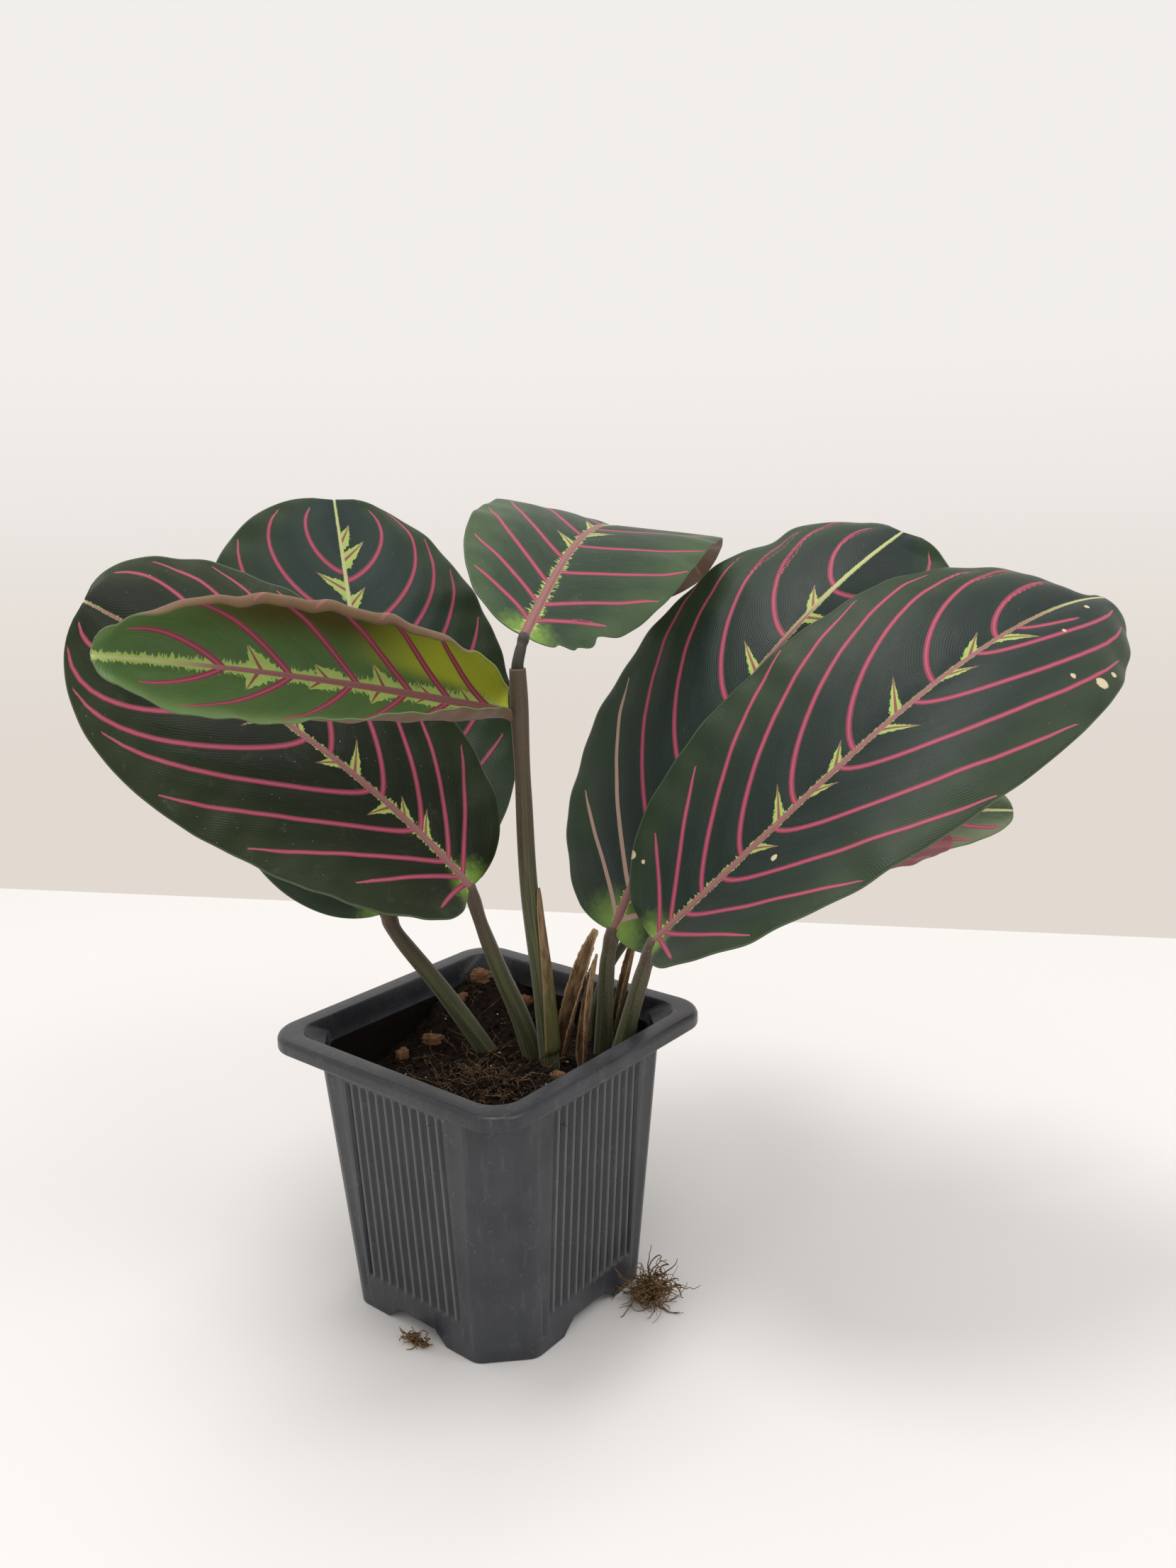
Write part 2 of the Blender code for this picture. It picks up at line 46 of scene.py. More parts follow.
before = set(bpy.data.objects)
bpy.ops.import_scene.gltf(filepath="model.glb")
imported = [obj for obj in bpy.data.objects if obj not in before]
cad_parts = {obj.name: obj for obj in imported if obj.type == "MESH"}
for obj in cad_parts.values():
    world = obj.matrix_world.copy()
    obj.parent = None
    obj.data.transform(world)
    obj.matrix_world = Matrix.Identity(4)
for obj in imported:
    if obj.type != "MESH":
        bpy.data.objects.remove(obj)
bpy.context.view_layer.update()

MM = 0.001
UP = Vector((0, 0, 1))
# Room between neighbours, and how near two vertices are one
GAP = 0.3 * MM
WELD = 0.001 * MM

POT_LOW, POT_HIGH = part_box("pot")
POT_CENTRE = np.array([(POT_LOW.x + POT_HIGH.x) / 2, (POT_LOW.y + POT_HIGH.y) / 2, 0])
POT_HEIGHT = POT_HIGH.z
RIM_HALF = (POT_HIGH.x - POT_LOW.x) / 2

# Pot, as the CAD has it
RIM_DROP = 4.2 * MM
RIM_CORNER = 10.5 * MM
RIM_ROUND = 1.4 * MM
RIM_WIDTH = 6.2 * MM
WALL_HALF_TOP = 38.9 * MM
WALL_HALF_FOOT = 33.9 * MM
WALL = 1.3 * MM
WALL_ROUND = 5 * MM
CHAMFER = 11.5 * MM
LEDGE_DROP = 7.2 * MM
LEDGE = 0.7 * MM
FLOOR_HEIGHT = 5 * MM
FLOOR = 1.2 * MM
FOOT_LAND = 2.4 * MM
ARCH_HEIGHT = 4.3 * MM
ARCH_TOP_HALF = 7 * MM
ARCH_FOOT_HALF = 11.5 * MM
DRAIN_RADIUS = 4 * MM
DRAIN_OFFSET = 19 * MM

# Soil, as the CAD has it
SOIL_LEVEL = POT_HEIGHT - 14.5 * MM
# Mounds: centre as shares of the soil's half width, rise, and spread as a share
SOIL_MOUNDS = (
    (0.36, -0.34, 5 * MM, 0.42),
    (-0.85, 0.85, 10 * MM, 0.4),
    (-0.95, -0.95, -9 * MM, 0.55),
    (0.85, 0.3, -2 * MM, 0.35),
)
SOIL_HALF = (
    WALL_HALF_FOOT
    + (WALL_HALF_TOP - WALL_HALF_FOOT) * SOIL_LEVEL / (POT_HEIGHT - RIM_DROP)
    - WALL
    - GAP
)
ROOTED_DEPTH = 12 * MM


@dataclass
class Blade:
    """A leaf blade: its midrib starts along heading and rise, then bends and swings to the tip.

    left and right hold each half's fold at the midrib and its curl at the base and at the tip.
    lip rolls the right margin over by so many degrees.
    """

    length: float
    width: float
    heading: float
    rise: float
    bend: float = 0
    late: float = 1.5
    swing: float = 0
    roll: float = 0
    twist: float = 0
    widest: float = 0.5
    left: tuple = (5, 0, 0)
    right: tuple = (5, 0, 0)
    sweep: float = 1
    lean: float = 0
    lip: float = 0


@dataclass
class Veins:
    """A blade's veins. Each long one is (share of the midrib where it starts, share of the length
    where it ends, share of the half width where it ends); short ones are starts alone.

    nicks are (side, share of the length, spread, depth in mm) bites in the margin.
    """

    left: tuple
    right: tuple
    short_left: tuple
    short_right: tuple
    power: float = 1.5
    pale: int = 0
    nicks: tuple = ()
    spots: tuple = ()


@dataclass
class Stem:
    """A stem: foot as shares of the soil's half width, route from there, first and last radius."""

    foot: tuple
    route: tuple
    radii: tuple
    fuzz: float = 0.3


# Stems: routes and radii in mm
STEMS = {
    "petiole_right_front": Stem(
        (0.78, 0.56),
        ((0, 0, 0), (2.6, 1, 10), (7.6, 2.6, 28.5), (11, 3, 38)),
        (3.1, 1.9),
        1,
    ),
    "petiole_right_rear": Stem(
        (0.573, 0.659),
        ((0, 0, 0), (0.2, 1.1, 13.6), (-0.2, 3.2, 28), (0.4, 5, 36)),
        (3, 1.9),
        1,
    ),
    "petiole_left": Stem(
        (0.23, 0.245),
        ((0, 0, 0), (-3.2, -2.8, 15), (-6.7, -6.2, 28), (-9.6, -9.8, 42), (-10.3, -12.9, 53)),
        (3.5, 1.6),
    ),
    "petiole_rear_left": Stem(
        (-0.13, 0.12),
        ((0, 0, 0), (-7.2, -5.1, 14), (-12.4, -9.3, 24), (-20.6, -14.6, 37), (-22.6, -16.1, 43)),
        (3.1, 2),
    ),
    "petiole_small_low": Stem(
        (0.74, 0.8), ((0, 0, 0), (0.5, 1, 12), (0, 7, 24), (-3, 20, 35)), (1.8, 1.1)
    ),
    "petiole_small_high": Stem(
        (0.33, 0.84),
        ((0, 0, 0), (1, 1, 12), (3, 8, 25), (8, 27, 38), (16, 52, 44)),
        (1.8, 1.1),
    ),
    "central_shoot": Stem(
        (0.42, 0.2),
        ((0, 0, 0), (-2, -0.3, 25), (-5.7, -0.3, 53), (-6.7, -0.3, 83), (-7.2, -0.5, 113)),
        (3, 2.1),
    ),
}
NODE_TO_TOP_LEAF = ((0, 0, 0), (0, 0.1, 1.5), (-0.4, 1.6, 4.4), (-1.1, 4, 7.8))
YOUNG_LEAF_DROP = 11 * MM
BLADE_GAP = 0.8 * MM

SMALL_STARTS = ((0.1, 0.35, 0.9), (0.3, 0.6, 0.9), (0.5, 0.8, 0.9), (0.7, 0.93, 0.8))
SMALL_VEINS = Veins(SMALL_STARTS, SMALL_STARTS, (0.4,), (0.4,))

# Leaves: the stem that carries each, its blade and its veins
LEAVES = {
    "leaf_right_front": (
        "petiole_right_front",
        Blade(165, 80, 22, 46, -50, 3, 52, 29, -6, 0.48, (13, 33, -40), (11, 20, -70), 1, 0.02),
        Veins(
            (
                (0.015, 0.14, 0.82), (0.045, 0.27, 0.83), (0.12, 0.5, 0.97), (0.21, 0.64, 0.95),
                (0.33, 0.76, 0.93), (0.455, 0.84, 0.87), (0.62, 0.91, 0.85), (0.75, 0.925, 0.5),
            ),
            (
                (0.015, 0.07, 0.85), (0.03, 0.2, 0.92), (0.08, 0.35, 0.95), (0.165, 0.54, 0.98),
                (0.28, 0.7, 0.93), (0.42, 0.87, 0.86), (0.575, 0.95, 0.75), (0.705, 0.97, 0.5),
                (0.79, 0.88, 0.27),
            ),
            (0.29, 0.41, 0.54, 0.69),
            (0.23, 0.36, 0.505, 0.64, 0.75),
            power=1.75,
            nicks=((-1, 0.96, 0.035, 12), (-1, 0.86, 0.05, 3)),
            spots=((-25, 9, 1.5), (-21, 10.5, 0.7), (11, 42, 1.1), (27, 134, 1.9), (26, 140, 0.9),
                   (4, 152, 0.8), (9, 138, 0.6), (22, 128, 0.8)),
        ),
    ),
    "leaf_right_rear": (
        "petiole_right_rear",
        Blade(
            147, 89, 43, 68, -44, 1.35, 29, 21, -6, 0.53, (10, 5, -28), (-42, 44, 44), 1.6, 0.01
        ),
        Veins(
            (
                (0.02, 0.25, 0.85), (0.09, 0.46, 0.9), (0.2, 0.66, 0.98), (0.33, 0.75, 0.92),
                (0.49, 0.86, 0.87), (0.66, 0.965, 0.95), (0.805, 0.965, 0.55),
            ),
            (
                (0.02, 0.2, 0.85), (0.09, 0.4, 0.92), (0.2, 0.58, 0.98), (0.33, 0.72, 0.95),
                (0.48, 0.84, 0.93), (0.64, 0.95, 0.97), (0.795, 0.975, 0.78),
            ),
            (0.57, 0.74),
            (0.4, 0.56, 0.715),
            pale=2,
            nicks=((-1, 0.8, 0.05, 3.5), (-1, 0.93, 0.04, 3)),
        ),
    ),
    "leaf_left": (
        "petiole_left",
        Blade(
            123, 80, 227, 54, -22, 0.8, 11, -35, -24, 0.48, (9, 27, -63), (8, 7, -38), 0.9, 0.02
        ),
        Veins(
            (
                (0.015, 0.08, 0.8), (0.035, 0.27, 0.81), (0.085, 0.48, 0.92), (0.185, 0.67, 0.92),
                (0.315, 0.82, 0.88), (0.49, 0.91, 0.92), (0.64, 0.97, 0.92), (0.78, 0.985, 0.6),
            ),
            (
                (0.03, 0.24, 0.9), (0.08, 0.4, 0.9), (0.17, 0.55, 0.93),
                (0.285, 0.68, 0.93), (0.43, 0.8, 0.93), (0.58, 0.9, 0.9), (0.72, 0.96, 0.8),
            ),
            (0.255, 0.405, 0.575),
            (0.15, 0.21, 0.36, 0.51, 0.65),
        ),
    ),
    "leaf_rear_left": (
        "petiole_rear_left",
        Blade(131, 92, 142, 57, 8, 1.5, 9, -16, 20, 0.53, (5, -7, -13), (5, 7, -41), 1, 0.01),
        Veins(
            (
                (0.03, 0.2, 0.85), (0.1, 0.38, 0.9), (0.2, 0.52, 0.93), (0.32, 0.64, 0.93),
                (0.45, 0.77, 0.93), (0.58, 0.87, 0.93), (0.7, 0.95, 0.85), (0.815, 0.97, 0.5),
            ),
            (
                (0.03, 0.2, 0.85), (0.1, 0.4, 0.9), (0.2, 0.55, 0.93), (0.32, 0.68, 0.93),
                (0.46, 0.8, 0.93), (0.57, 0.88, 0.93), (0.665, 0.955, 0.95), (0.795, 0.965, 0.65),
            ),
            (0.26, 0.38, 0.51, 0.64, 0.77),
            (0.27, 0.39, 0.52, 0.73, 0.845, 0.89),
        ),
    ),
    "leaf_small_low": (
        "petiole_small_low",
        Blade(95, 24, 51, 20, -24, 1.2, 0, -75, 0, 0.5, (12, 15, 10), (12, 15, 10), 0.6),
        SMALL_VEINS,
    ),
    "leaf_small_high": (
        "petiole_small_high",
        Blade(99, 27, 51, 14, -22, 1.5, 6, 65, 0, 0.5, (10, 10, 0), (10, 10, 0), 0.8),
        SMALL_VEINS,
    ),
    "leaf_top": (
        "petiole_top",
        Blade(
            123, 68, 109, 32, -105, 2.2, -1, 30, -32, 0.54, (9, -7, -21), (4, -22, 8), 1.1, -0.03
        ),
        Veins(
            (
                (0.045, 0.17, 0.9), (0.11, 0.285, 0.9), (0.185, 0.43, 0.92), (0.295, 0.52, 0.85),
                (0.43, 0.66, 0.85), (0.57, 0.8, 0.85), (0.7, 0.9, 0.8), (0.82, 0.95, 0.6),
            ),
            (
                (0.05, 0.16, 0.8), (0.11, 0.3, 0.95), (0.24, 0.42, 0.98), (0.37, 0.53, 0.98),
                (0.5, 0.68, 0.97), (0.63, 0.8, 0.95), (0.76, 0.9, 0.9), (0.86, 0.95, 0.6),
            ),
            (0.36, 0.5),
            (0.44, 0.57, 0.78),
            power=1.3,
            nicks=((1, 0.13, 0.02, 3), (1, 0.08, 0.012, 1.5), (1, 0.045, 0.012, 2)),
        ),
    ),
    "leaf_young": (
        None,
        Blade(
            111, 54, 255, 16, -6, 1.4, 9, -55, -10, 0.54, (8, 114, 42), (17, 110, 92), 0.25, 0, 150
        ),
        Veins(
            (
                (0.06, 0.26, 0.7), (0.17, 0.4, 0.75), (0.29, 0.53, 0.8), (0.43, 0.68, 0.8),
                (0.575, 0.86, 0.7), (0.73, 0.92, 0.4),
            ),
            (
                (0.05, 0.3, 0.9), (0.165, 0.45, 0.95), (0.27, 0.6, 0.95), (0.41, 0.73, 0.95),
                (0.575, 0.9, 0.9), (0.73, 0.94, 0.5),
            ),
            (0.115, 0.23, 0.355, 0.5, 0.65),
            (0.105, 0.215, 0.34, 0.48, 0.64),
            power=1.15,
        ),
    ),
}

# Free sheaths: foot as shares of the soil's half width, and blade
SHEATHS = {
    "dry_sheath_near_shoot": (
        (0.41, 0.38),
        Blade(41, 8.5, 32, 79, -8, 2, 10, 35, 30, 0.35, (20, 70, 60), (20, 70, 60), 0),
    ),
    "dry_sheath_middle": (
        (0.6, 0.39),
        Blade(35, 6.4, 50, 84, -3, 2, 0, 30, -50, 0.35, (20, 60, 50), (20, 60, 50), 0),
    ),
    "brown_sheath_right": (
        (0.565, 0.815),
        Blade(39, 5.5, 38, 79, -2, 2, 0, 25, 0, 0.4, (25, 60, 60), (25, 60, 60), 0),
    ),
}
# Bark chips: place as shares of the soil's half width, half sizes in mm, and turn in degrees
CHIPS = (
    (-0.84, 0.78, (3.4, 2.6, 2.2), 20),
    (-0.8, 0.5, (2, 1.6, 1.3), 70),
    (-0.68, 0.04, (3.6, 1.9, 1.6), 25),
    (-0.8, -0.2, (2.2, 1.7, 1.6), 110),
    (-0.25, -0.62, (2.6, 1.8, 1.3), 140),
    (-0.42, 0.84, (3, 2, 1.5), 60),
    (0.78, -0.3, (2.8, 1.8, 1.4), 100),
    (0.62, 0.05, (2.2, 1.5, 1.2), 15),
)


# Shader wiring


class Wire:
    """A shader socket that can be used in sums, so a pattern reads as arithmetic."""

    def __init__(self, look, socket):
        self.look = look
        self.socket = socket

    def maths(self, operation, *values):
        return self.look.node("ShaderNodeMath", {"operation": operation}, dict(enumerate(values)))

    def __add__(self, other):
        return self.maths("ADD", self, other)

    __radd__ = __add__

    def __sub__(self, other):
        return self.maths("SUBTRACT", self, other)

    def __rsub__(self, other):
        return self.maths("SUBTRACT", other, self)

    def __mul__(self, other):
        return self.maths("MULTIPLY", self, other)

    __rmul__ = __mul__

    def __truediv__(self, other):
        return self.maths("DIVIDE", self, other)

    def __pow__(self, other):
        return self.maths("POWER", self, other)

    def __abs__(self):
        return self.maths("ABSOLUTE", self)

    def least(self, other):
        return self.maths("MINIMUM", self, other)

    def most(self, other):
        return self.maths("MAXIMUM", self, other)

    def wave(self):
        return self.maths("SINE", self)

    def rises(self, low, high):
        """0 below low and 1 above high, with a smooth slope between. low may be above high."""
        return self.look.node(
            "ShaderNodeMapRange",
            {"interpolation_type": "SMOOTHSTEP"},
            {"Value": self, "From Min": low, "From Max": high, "To Min": 0, "To Max": 1},
        )


class Wiring:
    """A node tree around one shader."""

    def __init__(self, tree, shader):
        self.tree = tree
        self.shader = tree.nodes[shader]

    def node(self, kind, settings=None, values=None, output=0):
        """A node with its settings made first, then the values or links of its sockets."""
        made = self.tree.nodes.new(kind)
        for name, value in (settings or {}).items():
            setattr(made, name, value)
        for name, value in (values or {}).items():
            if isinstance(value, Wire):
                self.tree.links.new(value.socket, made.inputs[name])
            else:
                made.inputs[name].default_value = value
        return Wire(self, made.outputs[output])

    def feed(self, socket, wire):
        self.tree.links.new(wire.socket, self.shader.inputs[socket])

    def mix(self, factor, first, second):
        """Between two colours, each a wire or three numbers."""
        values = {0: factor}
        for index, colour in ((6, first), (7, second)):
            values[index] = colour if isinstance(colour, Wire) else (*colour, 1)
        return self.node("ShaderNodeMix", {"data_type": "RGBA"}, values, 2)

    def axes(self, vector):
        """The three numbers of a vector."""
        return [self.node("ShaderNodeSeparateXYZ", None, {0: vector}, axis) for axis in range(3)]


class Look(Wiring):
    """A node-based material around one Principled shader."""

    def __init__(self, name, **fixed):
        self.material = bpy.data.materials.new(name)
        self.material.use_nodes = True
        super().__init__(self.material.node_tree, "Principled BSDF")
        for socket, value in fixed.items():
            self.shader.inputs[socket.replace("_", " ")].default_value = value

    def parts(self, name):
        """The three numbers of a mesh attribute."""
        vector = self.node("ShaderNodeAttribute", {"attribute_name": name}, output="Vector")
        return self.axes(vector)

    def measure(self, operation, *vectors):
        """The length of a vector, or the distance between two."""
        found = dict(enumerate(vectors))
        return self.node("ShaderNodeVectorMath", {"operation": operation}, found, 1)

    def vector(self, x, y, z=0):
        return self.node("ShaderNodeCombineXYZ", None, {0: x, 1: y, 2: z})

    def place(self):
        """Object coordinates in millimetres, as a vector."""
        spot = self.node("ShaderNodeTexCoord", output="Object")
        return self.node(
            "ShaderNodeVectorMath", {"operation": "SCALE"}, {"Vector": spot, "Scale": 1000}
        )

    def clouds(self, vector, scale, detail=3, rough=0.55, distortion=0):
        """Noise about 0.5 at so many lumps per unit of vector."""
        values = {
            "Vector": vector, "Scale": scale, "Detail": detail,
            "Roughness": rough, "Distortion": distortion,
        }
        return self.node("ShaderNodeTexNoise", None, values)

    def cells(self, vector, scale, output="Distance"):
        return self.node("ShaderNodeTexVoronoi", None, {"Vector": vector, "Scale": scale}, output)

    def specks(self, vector, scale, size, share):
        """Small dots of a size, in a share of the cells."""
        dots = self.cells(vector, scale).rises(size, size * 0.5)
        colour = self.cells(vector, scale, "Color")
        chosen = self.node("ShaderNodeSeparateColor", None, {0: colour}).rises(share, share * 0.95)
        return dots * chosen

    def bump(self, height, distance, strength=1.0):
        values = {"Height": height, "Distance": distance, "Strength": strength}
        self.feed("Normal", self.node("ShaderNodeBump", None, values))


# Materials


def leaf_top_look(name, tints, colours, veins):
    """The upper side of a blade: dark velvet with pink veins, a lime-edged midrib and spikes."""
    look = Look(name, IOR=1.42, Sheen_Weight=0.05, Sheen_Roughness=0.4, Specular_IOR_Level=0.34)
    away, along_vein, pale = look.parts("vein")
    spike, along_spike, _ = look.parts("spike")
    across, along, share = look.parts("place")
    side, margin, _ = look.parts("edge")
    flat = look.vector(across, along)
    spread = abs(across)

    mottle = look.clouds(flat, 0.09, 4)
    streaks = look.clouds(look.vector(away * 1.5, along_vein * 5, pale), 1, 3)
    greener = (abs(side) + mottle * 0.5 - 0.25 + share * 0.12).rises(0.45, 1.0)
    body = look.mix(greener, tints["dark"], tints["green"])
    between = abs(away).rises(1, 7) * (1 - abs(side) * 0.6)
    body = look.mix(between * 0.55, body, tints["deep"])
    body = look.mix(streaks.rises(0.42, 0.78) * 0.35, body, tints["green"])

    jag = look.clouds(look.vector(across * 0.35, along * 1.4), 1, 3, 0.7).rises(0.36, 0.8)
    from_base = look.measure("LENGTH", look.vector(across, along * 1.1))
    blotch = (from_base + look.clouds(flat, 0.5, 4, 0.7) * 8 - 4).rises(tints["blotch"], 2)
    body = look.mix(blotch * 0.85, body, colours.lime_green)

    rib_half = 1.45 - share * 1.15
    halo = (1 - share).most(0) ** 3 * tints["halo"] + tints["fringe"] * (1 - share * 0.5)
    lime = (spread - rib_half - (jag * 2 + tints["solid"]) * halo).rises(0.3, -0.2)
    body = look.mix(lime * 0.9, body, colours.lime)
    fray = look.clouds(look.vector(spike * 0.8, along_spike * 7, away * 0.1), 1, 3, 0.7)
    flare = (1 - along_spike) * tints["spike"] * (fray * 1.6 + 0.2) - 0.15
    wedge = (abs(spike) - flare).rises(0.2, -0.1) * along_spike.rises(0.99, 0.9)
    body = look.mix(wedge * 0.9, body, colours.lime)
    if tints["flare"]:
        # Painted shade inside the young leaf's roll, in brown
        painted_roll_shade = side.rises(0.25, 0.6) * share.rises(0.2, 0.42) * share.rises(0.9, 0.65)
        body = look.mix(painted_roll_shade * 0.85, body, colours.painted_roll_shade)
        glow = share.rises(0.5, 0.2) * side.rises(0.12, 0.36)
        body = look.mix(glow * tints["flare"], body, colours.flare)

    width = 0.8 - along_vein * 0.32 + mottle * 0.08
    line = (abs(away) - width * (1 - along_vein.rises(0.85, 1) * 0.6)).rises(0.14, -0.1)
    blush = look.mix(abs(away).rises(0.5, 0), colours.vein_edge, colours.vein)
    blush = look.mix(pale.rises(0.4, 0.8) * 0.75, blush, colours.pale_vein)
    body = look.mix(line, body, blush)
    core = (abs(spike) - (1 - along_spike) * 0.4 - 0.04).rises(0.14, -0.06)
    body = look.mix(core * along_spike.rises(0.99, 0.92) * 0.9, body, colours.vein_edge)
    rib = (spread - rib_half).rises(0.15, -0.1)
    hair = look.clouds(look.vector(across * 3, along * 1.2), 1, 3, 0.7)
    rib_colour = look.mix(hair, colours.rib, colours.rib_light)
    rib_colour = look.mix(share.rises(*tints["pale_from"]), rib_colour, colours.pale_lime)
    body = look.mix(rib, body, rib_colour)
    body = look.mix(margin.rises(0.55, 0.15) * 0.55, body, colours.margin)

    dust = look.specks(flat, 0.55, 0.085, 0.3) * tints["dust"]
    dust = dust.most(look.specks(flat, 0.21, 0.05, 0.35) * tints["dust"])
    film = look.clouds(flat, 0.16, 5, 0.7, 0.6).rises(0.55, 0.85) * 0.1 * tints["dust"]
    body = look.mix(dust * 0.55 + film, body, colours.dust)
    for x, y, radius in veins.spots:
        ragged = look.clouds(flat, 1.6, 2) * 0.7 - 0.35
        near = look.measure("DISTANCE", flat, (x, y, 0)) + ragged
        body = look.mix(near.rises(radius, radius * 0.75), body, colours.blemish)
    look.feed("Base Color", body)
    look.feed("Roughness", 0.4 + mottle * 0.12 + line * 0.08 + dust * 0.3)
    fine = (away * 9).wave() * 0.12 + look.clouds(flat, 1.6, 4, 0.65) * 0.55
    look.bump(fine + line * 0.5 + rib * 0.6, 0.16 * MM, 0.7)
    return look.material


def leaf_back_look(name, base, second, vein):
    """The under side of a blade: matt, flushed, with raised paler veins."""
    look = Look(name, IOR=1.4, Specular_IOR_Level=0.3, Sheen_Weight=0.15)
    away, along_vein, _ = look.parts("vein")
    across, along, share = look.parts("place")
    side, _, _ = look.parts("edge")
    flat = look.vector(across, along)
    mottle = look.clouds(flat, 0.12, 4)
    streaks = look.clouds(look.vector(away * 1.6, along_vein * 4), 1, 3)
    body = look.mix((mottle + abs(side) * 0.3).rises(0.35, 0.85), base, second)
    body = look.mix(streaks.rises(0.4, 0.75) * 0.4, body, second)
    line = (abs(away) - 0.45).rises(0.2, -0.15)
    body = look.mix(line * 0.6, body, vein)
    body = look.mix(abs(across).rises(1.6, 0.9) * 0.7, body, vein)
    look.feed("Base Color", body)
    look.feed("Roughness", 0.5 + mottle * 0.15)
    look.bump(line * 0.8 + streaks * 0.3 + look.clouds(flat, 1.8, 3) * 0.4, 0.2 * MM, 0.7)
    return look.material


def stem_look(name, colours, fuzz):
    """Green and brown stripes along a stem, stained at its foot, with fine pale hairs."""
    look = Look(name, IOR=1.42, Sheen_Weight=0.25, Sheen_Roughness=0.5)
    around, along, share = look.parts("place")
    stripes = look.clouds(look.vector(around * 34, along * 0.03), 1, 2, 0.6)
    lines = look.clouds(look.vector(around * 90, along * 0.05), 1, 2, 0.6)
    patches = look.clouds(look.vector(around * 3, along * 0.09), 1, 3)
    body = look.mix(stripes.rises(0.35, 0.65), colours.stem_dark, colours.stem)
    body = look.mix(lines.rises(0.56, 0.7) * 0.5, body, colours.stem_light)
    body = look.mix((share + patches * 0.5).rises(0.75, 1.15) * 0.8, body, colours.stem_brown)
    body = look.mix((along + patches * 8).rises(22, 12) * 0.75, body, colours.soil_dark_and_painted_shade)
    hairs = look.clouds(look.vector(around * 60, along * 1.1), 1, 3, 0.75).rises(0.56, 0.72)
    body = look.mix(hairs * (0.2 + share.rises(0.35, 0.9) * 0.75) * fuzz, body, colours.hair)
    dots = look.specks(look.vector(around * 24, along), 0.8, 0.1, 0.3)
    body = look.mix(dots * 0.35, body, colours.hair)
    look.feed("Base Color", body)
    look.feed("Roughness", 0.42 + patches * 0.2 + hairs * 0.2)
    look.bump(stripes * 0.7 + hairs * 0.6 * fuzz, 0.25 * MM, 0.8)
    return look.material


def sheath_look(colours, green=0.0):
    """A dry papery sheath: brown fibres along it, torn pale edges."""
    look = Look("sheath_green" if green else "sheath_dry", IOR=1.4, Specular_IOR_Level=0.25)
    across, along, share = look.parts("place")
    side, _, _ = look.parts("edge")
    fibres = look.clouds(look.vector(across * 4.5, along * 0.14), 1, 3, 0.7)
    patches = look.clouds(look.vector(across * 0.4, along * 0.16), 1, 3)
    body = look.mix(fibres.rises(0.3, 0.7), colours.sheath_dark, colours.sheath)
    body = look.mix((patches + share * 0.3).rises(0.5, 0.85) * 0.6, body, colours.sheath_pale)
    if green:
        fresh = (share + patches * 0.3).rises(0.9, 0.35) * green
        body = look.mix(fresh, body, colours.stem)
    body = look.mix(abs(side).rises(0.82, 0.98) * 0.5, body, colours.sheath_pale)
    look.feed("Base Color", body)
    look.feed("Roughness", 0.62 + fibres * 0.25)
    look.bump(fibres + patches * 0.5, 0.3 * MM)
    return look.material


def plastic_look(colours):
    """Recycled black plastic: satin, dusty, scuffed, with dried water rings; painted shade on its
    inner wall and in its flutes' grooves, and painted highlights on the flutes' ridges.
    """
    look = Look("pot_plastic", IOR=1.48, Specular_IOR_Level=0.45)
    spot = look.place()
    broad = look.clouds(spot, 0.05, 4, 0.6)
    fine = look.clouds(spot, 1.1, 4, 0.65)
    body = look.mix(broad.rises(0.35, 0.7), colours.plastic, colours.plastic_light)
    east, north, height = look.axes(spot)
    drawn = look.node("ShaderNodeMapping", None, {"Vector": spot, "Scale": (1, 1, 0.16)})
    smears = look.clouds(drawn, 0.5, 4, 0.7).rises(0.52, 0.8)
    body = look.mix(smears * 0.07, body, colours.dust)
    dust = look.clouds(spot, 0.7, 5, 0.75).rises(0.58, 0.78)
    near_rim = height.rises(70, 80)
    near_foot = height.rises(16, 0)
    body = look.mix(dust * (0.05 + near_rim * 0.14 + near_foot * 0.12), body, colours.dust)
    ring = look.cells(spot, 0.16)
    rings = ring.rises(0.23, 0.27) * ring.rises(0.34, 0.29)
    body = look.mix(rings * fine.rises(0.5, 0.7) * 0.14, body, colours.dust)
    body = look.mix(look.specks(spot, 0.45, 0.07, 0.3) * 0.4, body, colours.dust)
    across = abs(east - float(POT_CENTRE[0] / MM))
    along = abs(north - float(POT_CENTRE[1] / MM))
    slope = (WALL_HALF_TOP - WALL_HALF_FOOT) / (POT_HEIGHT - RIM_DROP)
    wall = height * slope + WALL_HALF_FOOT / MM
    corner = (across + along - wall * 2 + CHAMFER / MM) / math.sqrt(2) + wall
    out = across.most(along).most(corner)
    # Painted shade on the pot's inner wall below the rim, in the dark soil colour
    inner = (wall - 1.05 - out).rises(0, 0.15) * height.rises(80.6, 77.5)
    body = look.mix(inner * 0.9, body, colours.soil_dark_and_painted_shade)
    side = across.least(along)
    groove = 0.5 - (side * (2 * math.pi * MM / FLUTE_PITCH) + math.pi / 2).wave() * 0.5
    fluted = (side - FLUTE_SPREAD / MM).rises(0.1, -0.1)
    fluted = fluted * height.rises(10.5, 12) * height.rises(72.2, 71)
    fluted = fluted * (1 - inner) * (out - wall + 3).rises(0, 1)
    # Painted shade in the flutes' grooves
    body = look.mix(groove * fluted * 0.5, body, colours.soil_dark_and_painted_shade)
    # Painted highlight along the flutes' ridges, in the dust colour
    body = look.mix((0.35 - groove).rises(0, 0.35) * fluted * 0.16, body, colours.dust)
    look.feed("Base Color", body)
    look.feed("Roughness", 0.27 + broad * 0.12 + dust * 0.25 - rings * 0.06)
    look.bump(fine * 0.5 + look.clouds(spot, 4, 2) * 0.3, 0.08 * MM)
    return look.material


